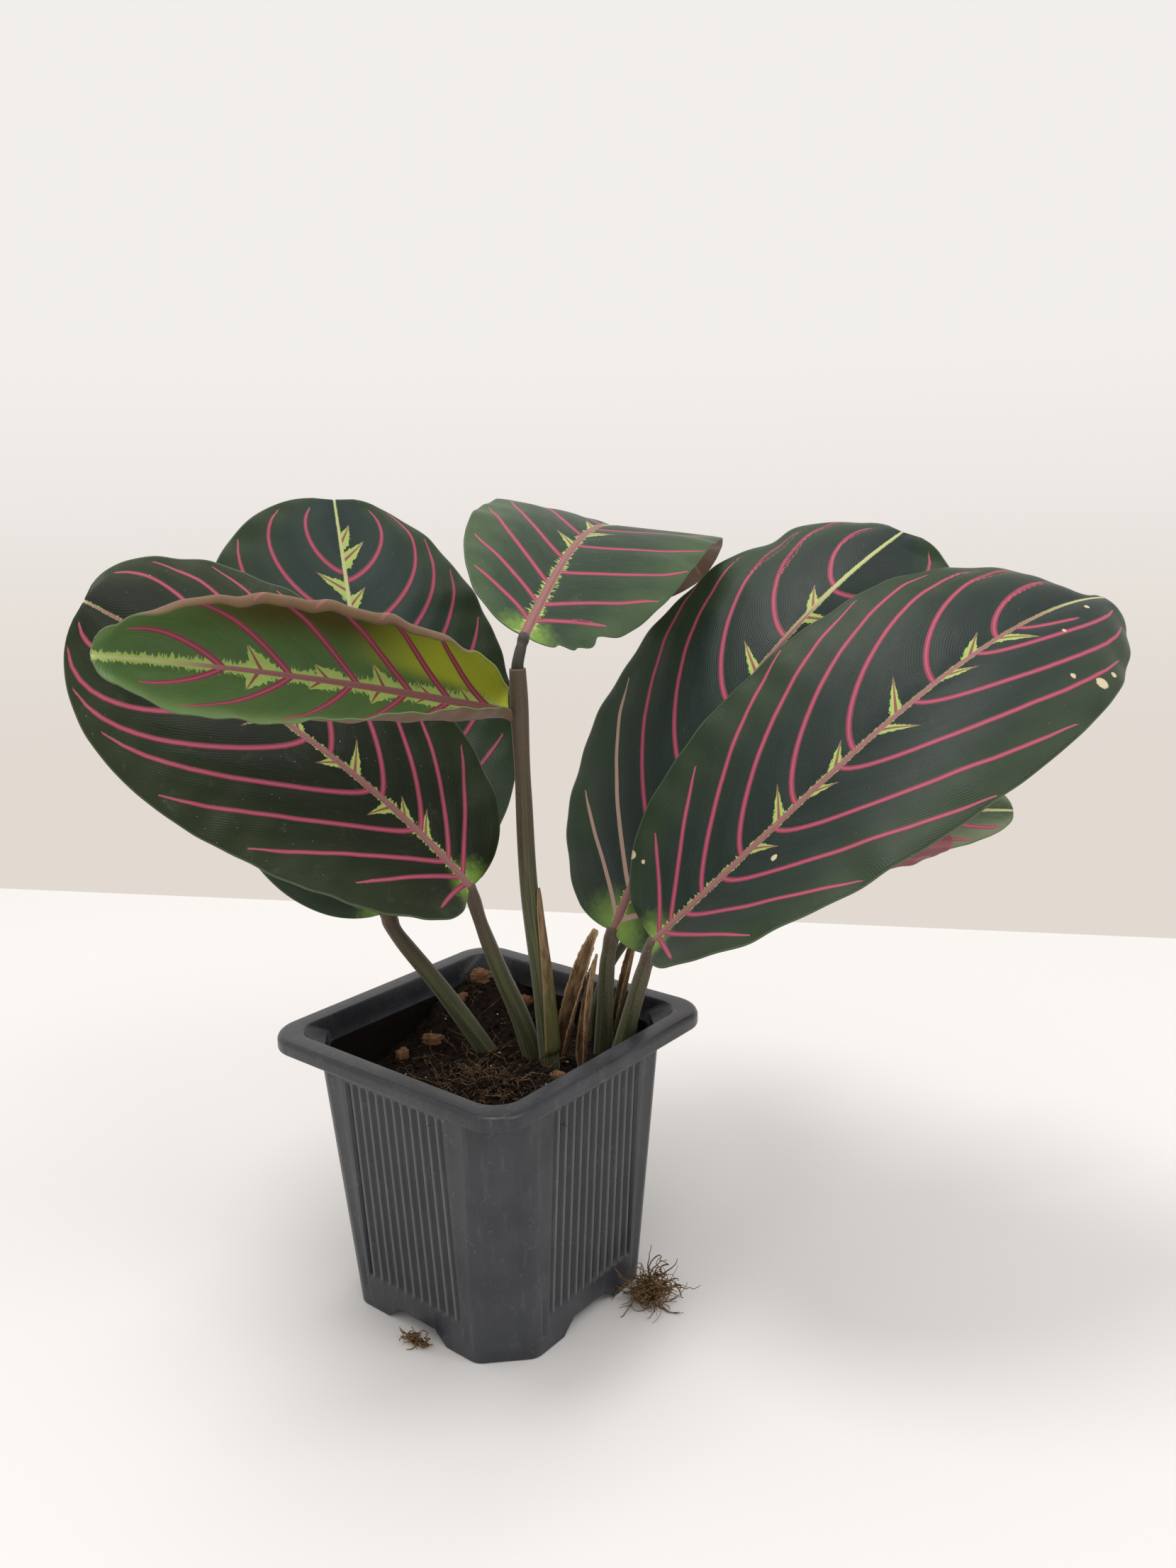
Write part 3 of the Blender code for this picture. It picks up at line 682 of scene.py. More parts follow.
def earth_look(name, dark, light, scale):
    """Crumbly or fibrous matter in two tones."""
    look = Look(name, IOR=1.4, Specular_IOR_Level=0.2)
    spot = look.place()
    coarse = look.clouds(spot, scale, 5, 0.7, 0.4)
    fine = look.clouds(spot, scale * 4, 4, 0.7)
    body = look.mix((coarse * 0.6 + fine * 0.4).rises(0.4, 0.68), dark, light)
    look.feed("Base Color", body)
    look.feed("Roughness", 0.75 + fine * 0.2)
    look.bump(coarse + fine * 0.6, 0.4 * MM)
    return look.material


# Mesh helpers

# What a sheet's looks read at each corner, three numbers to an attribute
SHEET_ATTRIBUTES = {
    "place": ("across", "along", "share"),
    "edge": ("side", "margin", "share"),
}


def mesh_from(name, bm):
    """A mesh from bm, which is freed."""
    mesh = bpy.data.meshes.new(name)
    bm.to_mesh(mesh)
    bm.free()
    return mesh


def absorb(bm, mesh):
    """Adds a mesh to bm and removes it."""
    bm.from_mesh(mesh)
    bpy.data.meshes.remove(mesh)


def in_scene(name, data):
    """A new object for data, in the scene."""
    made = bpy.data.objects.new(name, data)
    bpy.context.scene.collection.objects.link(made)
    return made


def finish(name, bm, materials, nodes=(), smooth=True):
    """A piece of the object from bm, in the frame."""
    mesh = mesh_from(name, bm)
    if smooth:
        mesh.shade_smooth()
    for material in materials:
        mesh.materials.append(material)
    piece = in_scene(name, mesh)
    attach(piece, "root")
    if nodes:
        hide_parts(*nodes)
    return piece


def laid_grid(points):
    """A grid sheet laid on an array of points, with the rows and columns of its vertices."""
    rows, columns = points.shape[0] - 1, points.shape[1] - 1
    bm = bmesh.new()
    bmesh.ops.create_grid(bm, x_segments=columns, y_segments=rows, size=1)
    cells = []
    for vert in bm.verts:
        row = round((vert.co.y + 1) / 2 * rows)
        column = round((vert.co.x + 1) / 2 * columns)
        vert.co = points[row, column]
        cells.append((row, column))
    return bm, np.array(cells).T


def corner_attribute(mesh, name, values):
    made = mesh.attributes.new(name, "FLOAT_VECTOR", "CORNER")
    made.data.foreach_set("vector", np.ascontiguousarray(values, np.float32).ravel())


def sheet_corners(mesh, cells, columns):
    """For each face corner, its vertex's place in a sheet's arrays, row after row."""
    row, column = cells
    loops = np.zeros(len(mesh.loops), int)
    mesh.loops.foreach_get("vertex_index", loops)
    return (row * (columns + 1) + column)[loops]


def sheet_attributes(mesh, sheet, corners):
    """Gives a laid sheet's corners what its looks read."""
    for name, keys in SHEET_ATTRIBUTES.items():
        values = np.stack([sheet[key] for key in keys], 2).reshape(-1, 3)
        corner_attribute(mesh, name, values[corners])


def thicken(piece, thickness):
    """Gives a sheet a thickness, half of it to either side."""
    solid = piece.modifiers.new("Thickness", "SOLIDIFY")
    solid.thickness = thickness
    solid.offset = 0
    return solid


def closed_skin(bm):
    """Closes a laid tube round itself and over its ends, and turns it out."""
    bmesh.ops.remove_doubles(bm, verts=bm.verts, dist=WELD)
    open_edges = [edge for edge in bm.edges if edge.is_boundary]
    if open_edges:
        bmesh.ops.holes_fill(bm, edges=open_edges, sides=0)
    bmesh.ops.recalc_face_normals(bm, faces=bm.faces)


def curve_through(points, steps):
    """A Catmull-Rom curve through points, with steps spans between neighbours."""
    padded = np.vstack([2 * points[0] - points[1], points, 2 * points[-1] - points[-2]])
    t = np.arange(steps)[:, None] / steps
    route = []
    for a, b, c, d in zip(padded, padded[1:], padded[2:], padded[3:]):
        route.append(
            0.5
            * (
                2 * b
                + (c - a) * t
                + (2 * a - 5 * b + 4 * c - d) * t**2
                + (3 * b - 3 * c + d - a) * t**3
            )
        )
    return np.vstack([*route, points[-1:]])


def unit(vectors):
    return vectors / np.linalg.norm(vectors, axis=-1, keepdims=True)


def ring_points(point, side, other, turn, size):
    """Points at angles round a point, in the plane of two directions."""
    return point + np.outer(np.cos(turn) * size, side) + np.outer(np.sin(turn) * size, other)


def tube_points(route, radius, sides, ridges=0.0):
    """Rings of points round a route: an array of rows by sides + 1 that meets itself."""
    ahead = unit(np.gradient(route, axis=0))
    side = np.array([1.0, 0, 0])
    turn = np.linspace(0, 2 * math.pi, sides + 1)
    rows = []
    for point, forward, size in zip(route, ahead, radius):
        side = unit(side - forward * (side @ forward))
        ring = size * (1 + ridges * np.sin(turn * RIDGES))
        rows.append(ring_points(point, side, np.cross(forward, side), turn, ring))
    return np.array(rows)


# Leaves

BLADE_ROWS = 176
BLADE_HALF_COLUMNS = 44
# Blades narrower than this, in mm, have half the rows and columns
SMALL_WIDTH = 40
FLAT_END = 0.35
LIP_START = 0.86
# The rib under a blade: its share of the length, depth below the sheet, sides and radii in mm
RIB_SHARE = 0.93
RIB_DROP = 0.3
RIB_SIDES = 10
RIB_RADIUS = 1.15
SMALL_RIB_RADIUS = 0.6
RIB_TIP_RADIUS = 0.3
SHORT_VEIN = 0.045


def half_width(blade, share):
    """Half the blade's width at shares of its length."""
    skewed = share ** (math.log(0.5) / math.log(blade.widest))
    shape = np.maximum(0, 1 - np.abs(2 * skewed - 1) ** 2.3) ** 0.55
    return np.maximum(shape * blade.width / 2, 0.6)


def sweep(blade, share):
    """How far a margin leans forward, as a share of the half width; below 0 it leans back."""
    return (-0.28 + 0.5 * share) * blade.sweep


def blade_sheet(blade, base, rows, columns, nicks=(), wave=0.0, seed=0):
    """Points of the blade's middle surface with what its looks need at each, in millimetres."""
    share = np.linspace(0, 1, rows + 1)
    heading = np.radians(blade.heading + blade.swing * share)
    rise = np.radians(blade.rise + blade.bend * share**blade.late)
    roll = np.radians(blade.roll + blade.twist * share)[:, None]
    zero = np.zeros_like(share)
    level = np.stack([np.cos(heading), np.sin(heading), zero], 1)
    upright = np.array([0, 0, 1.0])
    ahead = level * np.cos(rise)[:, None] + upright * np.sin(rise)[:, None]
    flat = -level * np.sin(rise)[:, None] + upright * np.cos(rise)[:, None]
    up = flat * np.cos(roll) + np.cross(ahead, flat) * np.sin(roll)
    right = np.cross(ahead, up)
    steps = (ahead[1:] + ahead[:-1]) * (blade.length / rows / 2)
    middle = base + np.vstack([np.zeros(3), np.cumsum(steps, 0)])
    swept = sweep(blade, share)
    halves = {}
    for sign, (full_fold, base_curl, tip_curl) in ((-1, blade.left), (1, blade.right)):
        reach = half_width(blade, share) * (1 - sign * blade.lean)
        for side, centre, spread, depth in nicks:
            if side == sign:
                reach = reach - depth * np.exp(-(((share - centre) / spread) ** 2))
        reach = np.maximum(reach, 0.5)
        bent = np.minimum(1, reach / (FLAT_END * blade.width / 2))
        curl = (base_curl + (tip_curl - base_curl) * share) * bent
        fold = full_fold * bent
        v = np.linspace(0, 1, columns + 1)
        middles = (np.arange(columns) + 0.5) / columns
        rolled = blade.lip * (sign > 0) * np.sin(np.pi * np.clip((share - 0.2) / 0.75, 0, 1)) ** 0.5
        lip = rolled[:, None] * np.clip((middles - LIP_START) / (1 - LIP_START), 0, 1)
        angle = np.radians(fold[:, None] + curl[:, None] * middles + lip)
        out = np.hstack([zero[:, None], np.cumsum(np.cos(angle), 1)]) * reach[:, None] / columns
        high = np.hstack([zero[:, None], np.cumsum(np.sin(angle), 1)]) * reach[:, None] / columns
        backward = swept[:, None] * reach[:, None] * v**1.5
        edge = np.radians(fold[:, None] + curl[:, None] * v)
        normal = (
            up[:, None] * np.cos(edge)[..., None]
            - right[:, None] * (sign * np.sin(edge))[..., None]
        )
        ripple = np.sin(share[:, None] * (41 + 5 * sign) + seed) * 0.55
        ripple = ripple + np.sin(share[:, None] * 83 + seed * 3 + sign) * 0.3
        lift = wave * ripple * v**2.5 * bent[:, None]
        points = (
            middle[:, None]
            + right[:, None] * (sign * out)[..., None]
            + up[:, None] * high[..., None]
            + ahead[:, None] * backward[..., None]
            + normal * lift[..., None]
        )
        halves[sign] = {
            "points": points,
            "normal": normal,
            "across": sign * reach[:, None] * v,
            "along": share[:, None] * blade.length + backward,
            "margin": reach[:, None] * (1 - v),
            "side": np.broadcast_to(sign * v, points.shape[:2]),
        }
    sheet = {
        key: np.concatenate([halves[-1][key][:, :0:-1], halves[1][key]], axis=1)
        for key in halves[1]
    }
    sheet["share"] = np.broadcast_to(share[:, None], sheet["side"].shape)
    sheet["middle"] = middle
    sheet["up"] = up
    return sheet


def vein_path(blade, sign, vein, power):
    """A vein's line laid flat in millimetres, and the share of the length at a half-width share."""
    start, end, reach_share = vein

    def share_at(side):
        return start + (end - start) * (side / reach_share) ** power

    side = np.linspace(0, reach_share, 18)
    share = np.clip(share_at(side), 0, 1)
    reach = half_width(blade, share) * (1 - sign * blade.lean)
    backward = sweep(blade, share) * reach * side**1.5
    return np.stack([sign * reach * side, share * blade.length + backward], 1), share_at


def distance_along(points, line):
    """Each point's distance to a flat line, and how far along the line its nearest spot is."""
    best = np.full(len(points), np.inf)
    where = np.zeros(len(points))
    lengths = np.linalg.norm(np.diff(line, axis=0), axis=1)
    before = np.concatenate([[0], np.cumsum(lengths)])
    for i, (start, end) in enumerate(zip(line, line[1:])):
        step = end - start
        t = np.clip((points - start) @ step / (step @ step), 0, 1)
        distance = np.linalg.norm(points - (start + t[:, None] * step), axis=1)
        nearer = distance < best
        best[nearer] = distance[nearer]
        where[nearer] = (before[i] + t * lengths[i])[nearer]
    return best, where / before[-1]


def vein_field(blade, sheet, groups, power, loops):
    """For each face corner: signed distance to its face's nearest vein, share along it, paleness.

    loops is (vertex of each corner, corners grouped by face in fours).
    """
    flat = np.stack([sheet["across"].ravel(), sheet["along"].ravel()], 1)
    side = sheet["side"].ravel()
    share = sheet["share"].ravel()
    corner = loops.reshape(-1, 4)
    face_side = side[corner].mean(1)
    nearest = np.full(len(corner), np.inf)
    values = np.tile([99.0, 0.5, 0.0], (len(corner), 4, 1))
    for sign, veins in groups:
        on_side = np.sign(face_side) == sign
        for vein, pale in veins:
            line, share_at = vein_path(blade, sign, vein, power)
            distance, where = distance_along(flat, line)
            signed = np.where(share < share_at(np.abs(side)), -distance, distance)
            beyond = (where[corner].min(1) > 0.999) | (where[corner].max(1) < 0.001)
            chosen = np.where(beyond[:, None], distance[corner], signed[corner])
            mean = distance[corner].mean(1)
            take = on_side & (mean < nearest)
            nearest[take] = mean[take]
            values[take, :, 0] = chosen[take]
            values[take, :, 1] = where[corner[take]]
            values[take, :, 2] = pale
    return values.reshape(-1, 3)


def long_veins(veins):
    """Each side's sign with its veins and whether they are pale."""
    groups = []
    for sign, starts in ((-1, veins.left), (1, veins.right)):
        groups.append((sign, [(vein, float(i < veins.pale)) for i, vein in enumerate(starts)]))
    return groups


def short_veins(veins):
    """As long_veins, for the short ones, of two lengths in turn."""
    groups = []
    for sign, starts in ((-1, veins.short_left), (1, veins.short_right)):
        made = []
        for i, start in enumerate(starts):
            made.append(((start, start + SHORT_VEIN, 0.24 - 0.1 * (i % 2)), 0.0))
        groups.append((sign, made))
    return groups


def stem_route(stem, steps=3):
    """A stem's way from its foot in the soil to its top."""
    foot = np.array([stem.foot[0] * SOIL_HALF, stem.foot[1] * SOIL_HALF, SOIL_LEVEL])
    points = foot + np.array(stem.route) * MM
    slope = (points[1] - points[0]) / (points[1, 2] - points[0, 2])
    return curve_through(np.vstack([foot - slope * ROOTED_DEPTH, points]), steps)


def top_route(steps):
    """The way from the shoot's node to the top leaf."""
    node = stem_route(STEMS["central_shoot"])[-1] + np.array([0, 0, GAP])
    return curve_through(node + np.array(NODE_TO_TOP_LEAF) * MM, steps)


def young_leaf_start(heading):
    """Beside the shoot, clear of it, on the leaf's side."""
    shoot = STEMS["central_shoot"]
    clear = shoot.radii[1] * MM + 2 * GAP + 0.5 * MM
    return stem_route(shoot)[-1] + np.array(
        [math.cos(heading) * clear, math.sin(heading) * clear, -YOUNG_LEAF_DROP]
    )


def leaf_start(carrier, blade):
    """Where a blade begins, in metres in the pot's frame."""
    if not carrier:
        return young_leaf_start(math.radians(blade.heading))
    route = top_route(3) if carrier == "petiole_top" else stem_route(STEMS[carrier])
    return route[-1] + unit(route[-1] - route[-2]) * BLADE_GAP


def make_leaf(name, sizes, upper, under):
    """A blade with sunk veins, a rippled margin and a raised rib underneath."""
    carrier, blade, veins = LEAVES[name]
    small = blade.width < SMALL_WIDTH
    rows, columns = BLADE_ROWS, BLADE_HALF_COLUMNS
    if small:
        rows, columns = rows // 2, columns // 2
    base = (leaf_start(carrier, blade) + POT_CENTRE) / MM
    seed = len(name) * 1.7
    sheet = blade_sheet(blade, base, rows, columns, veins.nicks, sizes.ripple / MM, seed)
    flat = np.stack([sheet["across"].ravel(), sheet["along"].ravel()], 1)
    nearest = np.full(len(flat), np.inf)
    for sign, starts in long_veins(veins):
        mine = np.sign(sheet["side"].ravel()) == sign
        for vein, _ in starts:
            line, _ = vein_path(blade, sign, vein, veins.power)
            distance, _ = distance_along(flat, line)
            nearest = np.where(mine, np.minimum(nearest, distance), nearest)
    nearest = np.minimum(nearest, np.abs(flat[:, 0]) + 0.2).reshape(sheet["side"].shape)
    ease = np.minimum(1, sheet["margin"] / 3)
    puff = (1 - np.exp(-((nearest / 2.6) ** 2))) * sizes.quilt / MM * ease
    bm, cells = laid_grid((sheet["points"] + sheet["normal"] * puff[..., None]) * MM)
    slot = "young_leaf" if name == "leaf_young" else "leaf"
    piece = finish(name, bm, [upper, under], [name])
    mesh = piece.data
    corners = sheet_corners(mesh, cells, 2 * columns)
    field = vein_field(blade, sheet, long_veins(veins), veins.power, corners)
    corner_attribute(mesh, "vein", field)
    corner_attribute(mesh, "spike", vein_field(blade, sheet, short_veins(veins), 1, corners))
    sheet_attributes(mesh, sheet, corners)
    solid = thicken(piece, sizes.blade_thickness)
    solid.material_offset = 1
    solid.material_offset_rim = 0
    end = int(rows * RIB_SHARE)
    rib = sheet["middle"][:end] - sheet["up"][:end] * RIB_DROP
    taper = np.linspace(SMALL_RIB_RADIUS if small else RIB_RADIUS, RIB_TIP_RADIUS, end) * MM
    skin, _ = laid_grid(tube_points(rib * MM, taper, RIB_SIDES))
    closed_skin(skin)
    finish(name.replace("leaf", "rib"), skin, [under])


# Stems and sheaths

RIDGES = 9
STEM_STEPS = 14
STEM_SIDES = 36
STEM_RIDGE = 0.018
TOP_STEM_RADII = (1.7, 1.4)
SHEATH_LIFT = 0.2 * MM
SHEATH_ROWS = 60
SHEATH_HALF_COLUMNS = 10
SHEATH_THICKNESS = 0.35 * MM
# The sheath round the shoot: heights above the soil, the way it faces and half its spread in
# degrees, its room round the stem in mm, and how wide and long its pattern is
CLASP_LOW, CLASP_HIGH = 4.8 * MM, 54 * MM
CLASP_FACING = 15
CLASP_SPREAD = 75
CLASP_TIP = 6
CLASP_ROOM = 0.55
CLASP_COLUMNS = 16
CLASP_THICKNESS = 0.4 * MM
CLASP_PATTERN = (4, 49)


def make_stem(name, route, radii, material, extend):
    """A tapered, ridged tube with a swollen joint, whose end runs on into what it carries."""
    route = np.vstack([route, route[-1] + unit(route[-1] - route[-2]) * extend])
    share = np.linspace(0, 1, len(route))
    radius = (radii[0] + (radii[1] - radii[0]) * share) * MM
    joint = np.exp(-(((share - 0.93) / 0.06) ** 2)) * 0.14
    waist = np.exp(-(((share - 0.8) / 0.05) ** 2)) * -0.06
    radius = radius * (1 + joint + waist)
    points = tube_points(route + POT_CENTRE, radius, STEM_SIDES, STEM_RIDGE)
    skin, (row, column) = laid_grid(points)
    lengths = np.concatenate([[0], np.cumsum(np.linalg.norm(np.diff(route, axis=0), axis=1))])
    layer = skin.loops.layers.float_vector.new("place")
    skin.verts.index_update()
    for face in skin.faces:
        for loop in face.loops:
            i = loop.vert.index
            loop[layer] = (column[i] / STEM_SIDES, lengths[row[i]] / MM, share[row[i]])
    closed_skin(skin)
    finish(name, skin, [material], [name])


def finish_sheath(name, points, sheet, thickness, material):
    bm, cells = laid_grid(points)
    piece = finish(name, bm, [material], [name])
    corners = sheet_corners(piece.data, cells, points.shape[1] - 1)
    sheet_attributes(piece.data, sheet, corners)
    thicken(piece, thickness)


def make_sheath(name, foot, blade, material):
    """A narrow, wrinkled dry sheath with a torn margin."""
    x, y = foot[0] * SOIL_HALF, foot[1] * SOIL_HALF
    base = np.array([x, y, soil_height(x, y) + SHEATH_LIFT]) + POT_CENTRE
    sheet = blade_sheet(blade, base / MM, SHEATH_ROWS, SHEATH_HALF_COLUMNS)
    rng = np.random.default_rng(len(name))
    torn = rng.normal(0, 0.18, sheet["side"].shape) * np.abs(sheet["side"]) ** 4
    wrinkle = 0.16 * np.sin(sheet["side"] * 14 + sheet["share"] * 5)
    points = (sheet["points"] + sheet["normal"] * (wrinkle + torn)[..., None]) * MM
    finish_sheath(name, points, sheet, SHEATH_THICKNESS, material)


def make_shoot_sheath(material):
    """The pointed sheath that clasps the central shoot's right side."""
    stem = STEMS["central_shoot"]
    route = stem_route(stem, STEM_STEPS)
    high = route[:, 2] - SOIL_LEVEL
    keep = (route[:, 2] >= SOIL_LEVEL + CLASP_LOW) & (route[:, 2] <= SOIL_LEVEL + CLASP_HIGH)
    ahead = unit(np.gradient(route, axis=0))[keep]
    whole = np.linspace(0, 1, len(route))[keep]
    radius = (stem.radii[0] + (stem.radii[1] - stem.radii[0]) * whole + CLASP_ROOM) * MM
    share = (high[keep] - CLASP_LOW) / (CLASP_HIGH - CLASP_LOW)
    side = np.array([1.0, 0, 0])
    across = np.linspace(-1, 1, CLASP_COLUMNS + 1)
    rows = []
    for point, forward, size, s in zip(route[keep], ahead, radius, share):
        side = unit(side - forward * (side @ forward))
        half = CLASP_SPREAD * (1 - s) ** 0.6 + CLASP_TIP
        angle = np.radians(CLASP_FACING - half * across)
        size = size * (1 + 0.025 * np.sin(angle * 11))
        rows.append(ring_points(point, side, np.cross(forward, side), angle, size))
    along, across = np.meshgrid(share, across, indexing="ij")
    wide, long = CLASP_PATTERN
    sheet = {
        "across": across * wide, "along": along * long, "share": along,
        "side": across, "margin": across * 0,
    }
    finish_sheath("shoot_sheath", np.array(rows) + POT_CENTRE, sheet, CLASP_THICKNESS, material)


# Pot

SIDE_FINE = 120
FLUTE_PITCH = 3.2 * MM
FLUTE_SPREAD = 17.6 * MM
FLUTE_LOW, FLUTE_HIGH = 10.5 * MM, 72 * MM
FLUTE_FADE = 1.2 * MM
ARC_STEPS = 8
CORNER_STEPS = 13
EIGHTH = math.radians(45)
# Where columns stand across the plain strip beside the flutes, and the groove in it
PLAIN_STRIP = np.array([0, 0.3, 0.66, 0.7, 0.74, 0.78, 0.9])
LINE_PLACE = 0.72
LINE_HALF = 0.05
LINE_DEPTH = 0.5 * MM
LINE_LOW = 4 * MM
# The sunk panel down each corner
PANEL_TOP = 73 * MM
PANEL_DEPTH = 0.7 * MM
PANEL_MARGIN = 0.08
RIM_UNDER_ROUND = 0.8 * MM
RIM_INNER_ROUND = 0.6 * MM
SHARP_ANGLE = math.radians(42)


def outline(half, chamfer, rounding):
    """One quarter of a square with rounded chamfered corners: x, y, outward x, y, place, kind.

    The kind is 0 on a side, 1 on a rounding and 2 on the corner's flat, where place is a share.
    """
    flat = half - chamfer - rounding * math.tan(EIGHTH / 2)
    plain = flat - FLUTE_SPREAD
    sides = np.concatenate([
        plain * PLAIN_STRIP - flat,
        np.linspace(-FLUTE_SPREAD, FLUTE_SPREAD, SIDE_FINE + 1),
        FLUTE_SPREAD + plain * (1 - PLAIN_STRIP[:0:-1]),
    ])
    rows = [(half, side, 1, 0, side, 0) for side in sides]
    for x, y, start in ((half - rounding, flat, 0), (flat, half - rounding, 45)):
        for step in range(1, ARC_STEPS + 1):
            angle = math.radians(start + 45 * step / ARC_STEPS)
            nx, ny = math.cos(angle), math.sin(angle)
            rows.append((x + rounding * nx, y + rounding * ny, nx, ny, half, 1))
        if start == 0:
            slant = np.array([math.cos(EIGHTH), math.sin(EIGHTH)])
            first = np.array(rows[-1][:2])
            last = np.array([flat, half - rounding]) + rounding * slant
            for step in range(1, CORNER_STEPS + 1):
                spot = first + (last - first) * step / CORNER_STEPS
                rows.append((*spot, *slant, step / CORNER_STEPS, 2))
    return np.array(rows)


def full_ring(half, chamfer, rounding, z, shape=None):
    """All four sides of the outline at height z, moved along its outward direction by shape."""
    quarter = outline(half, chamfer, rounding)
    push = shape(quarter, z) if shape else 0
    x = quarter[:, 0] + quarter[:, 2] * push
    y = quarter[:, 1] + quarter[:, 3] * push
    ring = []
    for _ in range(4):
        ring.append(np.stack([x, y, np.full_like(x, z)], 1))
        x, y = -y, x
    return np.vstack([*ring, ring[0][:1]])


def wall_half(z):
    """Half the wall's outer width at a height."""
    return WALL_HALF_FOOT + (WALL_HALF_TOP - WALL_HALF_FOOT) * z / (POT_HEIGHT - RIM_DROP)


def wall_shape(depth):
    """How far the wall stands out at each place: flutes, grooves beside them, corner panels."""

    def shape(quarter, z):
        side, kind = quarter[:, 4], quarter[:, 5]
        on_side = kind == 0
        rising = np.clip((z - FLUTE_LOW) / FLUTE_FADE, 0, 1)
        fade = rising * np.clip((FLUTE_HIGH - z) / FLUTE_FADE, 0, 1)
        groove = 0.5 - 0.5 * np.cos(2 * math.pi * side / FLUTE_PITCH)
        fluted = on_side & (np.abs(side) <= FLUTE_SPREAD + 1e-9)
        push = np.where(fluted, -depth * fade * groove**0.8, 0.0)
        flat = wall_half(z) - CHAMFER - WALL_ROUND * math.tan(EIGHTH / 2)
        strip = (np.abs(side) - FLUTE_SPREAD) / (flat - FLUTE_SPREAD)
        line = on_side & (np.abs(strip - LINE_PLACE) < LINE_HALF)
        above = np.clip((z - LINE_LOW) / (2 * MM), 0, 1)
        push = push - np.where(line, LINE_DEPTH * above, 0.0)
        panel = (kind == 2) & (side > PANEL_MARGIN) & (side < 1 - PANEL_MARGIN)
        ledge = np.clip((PANEL_TOP - z) / (0.5 * MM), 0, 1) * above
        return push - np.where(panel, PANEL_DEPTH * ledge, 0.0)

    return shape


def arch_lift(ring):
    """How far the foot's edge rises over the arch in the middle of each side."""
    side = np.minimum(np.abs(ring[:, 0]), np.abs(ring[:, 1]))
    share = np.clip((ARCH_FOOT_HALF - side) / (ARCH_FOOT_HALF - ARCH_TOP_HALF), 0, 1)
    return share * ARCH_HEIGHT


def arc(start, end, count):
    """Cosine and sine at even steps between two angles in degrees."""
    return [(math.cos(turn), math.sin(turn)) for turn in np.radians(np.linspace(start, end, count))]


def make_pot(sizes, material):
    """The pot's shell, ring by ring: up its outside, over the rim and down inside."""
    under = POT_HEIGHT - RIM_DROP
    shape = wall_shape(sizes.flute_depth)

    def wall(z, inset=0.0, detail=False):
        chamfer = CHAMFER - inset * (2 - math.sqrt(2))
        rounding = WALL_ROUND - inset
        return full_ring(wall_half(z) - inset, chamfer, rounding, z, shape if detail else None)

    def rim(half, z):
        corner = RIM_CORNER - (RIM_HALF - half) * 0.5
        return full_ring(half, corner * 0.62, corner * 0.94, z)

    def footed(ring):
        ring[:, 2] = np.maximum(ring[:, 2], arch_lift(ring))
        return ring

    rings = [wall(FLOOR_HEIGHT, FOOT_LAND)]
    rings += [footed(wall(0, inset)) for inset in (FOOT_LAND, FOOT_LAND - 0.3 * MM, 0.35 * MM)]
    rings.append(footed(wall(0.3 * MM)))
    heights = [
        *(z * MM for z in (1, 2, 3, 4.35, 5, 6, 8, 10)),
        *np.linspace(FLUTE_LOW, FLUTE_LOW + FLUTE_FADE, 5),
        *np.linspace(14 * MM, 70 * MM, 17),
        *np.linspace(FLUTE_HIGH - FLUTE_FADE, FLUTE_HIGH, 5),
        *(z * MM for z in (72.5, 73.05, 74)),
        under - 0.8 * MM,
        under,
    ]
    rings += [footed(wall(z, detail=True)) for z in heights]
    rings.append(rim(RIM_HALF - 1.2 * RIM_ROUND, under - 0.05 * MM))
    low, top, inner = RIM_UNDER_ROUND, RIM_ROUND, RIM_INNER_ROUND
    rings += [rim(RIM_HALF - low * (1 - c), under + low * (1 + s)) for c, s in arc(-90, 0, 6)]
    rings += [rim(RIM_HALF - top * (1 - c), POT_HEIGHT - top * (1 - s)) for c, s in arc(0, 90, 8)]
    rings.append(rim(RIM_HALF - 0.5 * RIM_WIDTH, POT_HEIGHT))
    opening = RIM_HALF - RIM_WIDTH
    rings += [
        rim(opening + inner - inner * c, POT_HEIGHT - inner * (1 - s)) for c, s in arc(90, 10, 5)
    ]
    thin = WALL - LEDGE
    ledge = POT_HEIGHT - LEDGE_DROP
    rings += [
        wall(under, thin),
        wall(ledge + 0.15 * MM, thin),
        wall(ledge, thin + 0.1 * MM),
        wall(ledge, WALL),
        wall(ledge - 1 * MM, WALL + 0.05 * MM),
    ]
    rings += [wall(z, WALL) for z in np.linspace(ledge - 6 * MM, FLOOR_HEIGHT + FLOOR, 5)]
    bm, _ = laid_grid(np.array(rings) + POT_CENTRE)
    bmesh.ops.remove_doubles(bm, verts=bm.verts, dist=1e-7)
    bmesh.ops.recalc_face_normals(bm, faces=bm.faces)
    absorb(bm, floor_plate())
    pot = finish("pot_shell", bm, [material], ["pot"])
    pot.data.set_sharp_from_angle(angle=SHARP_ANGLE)


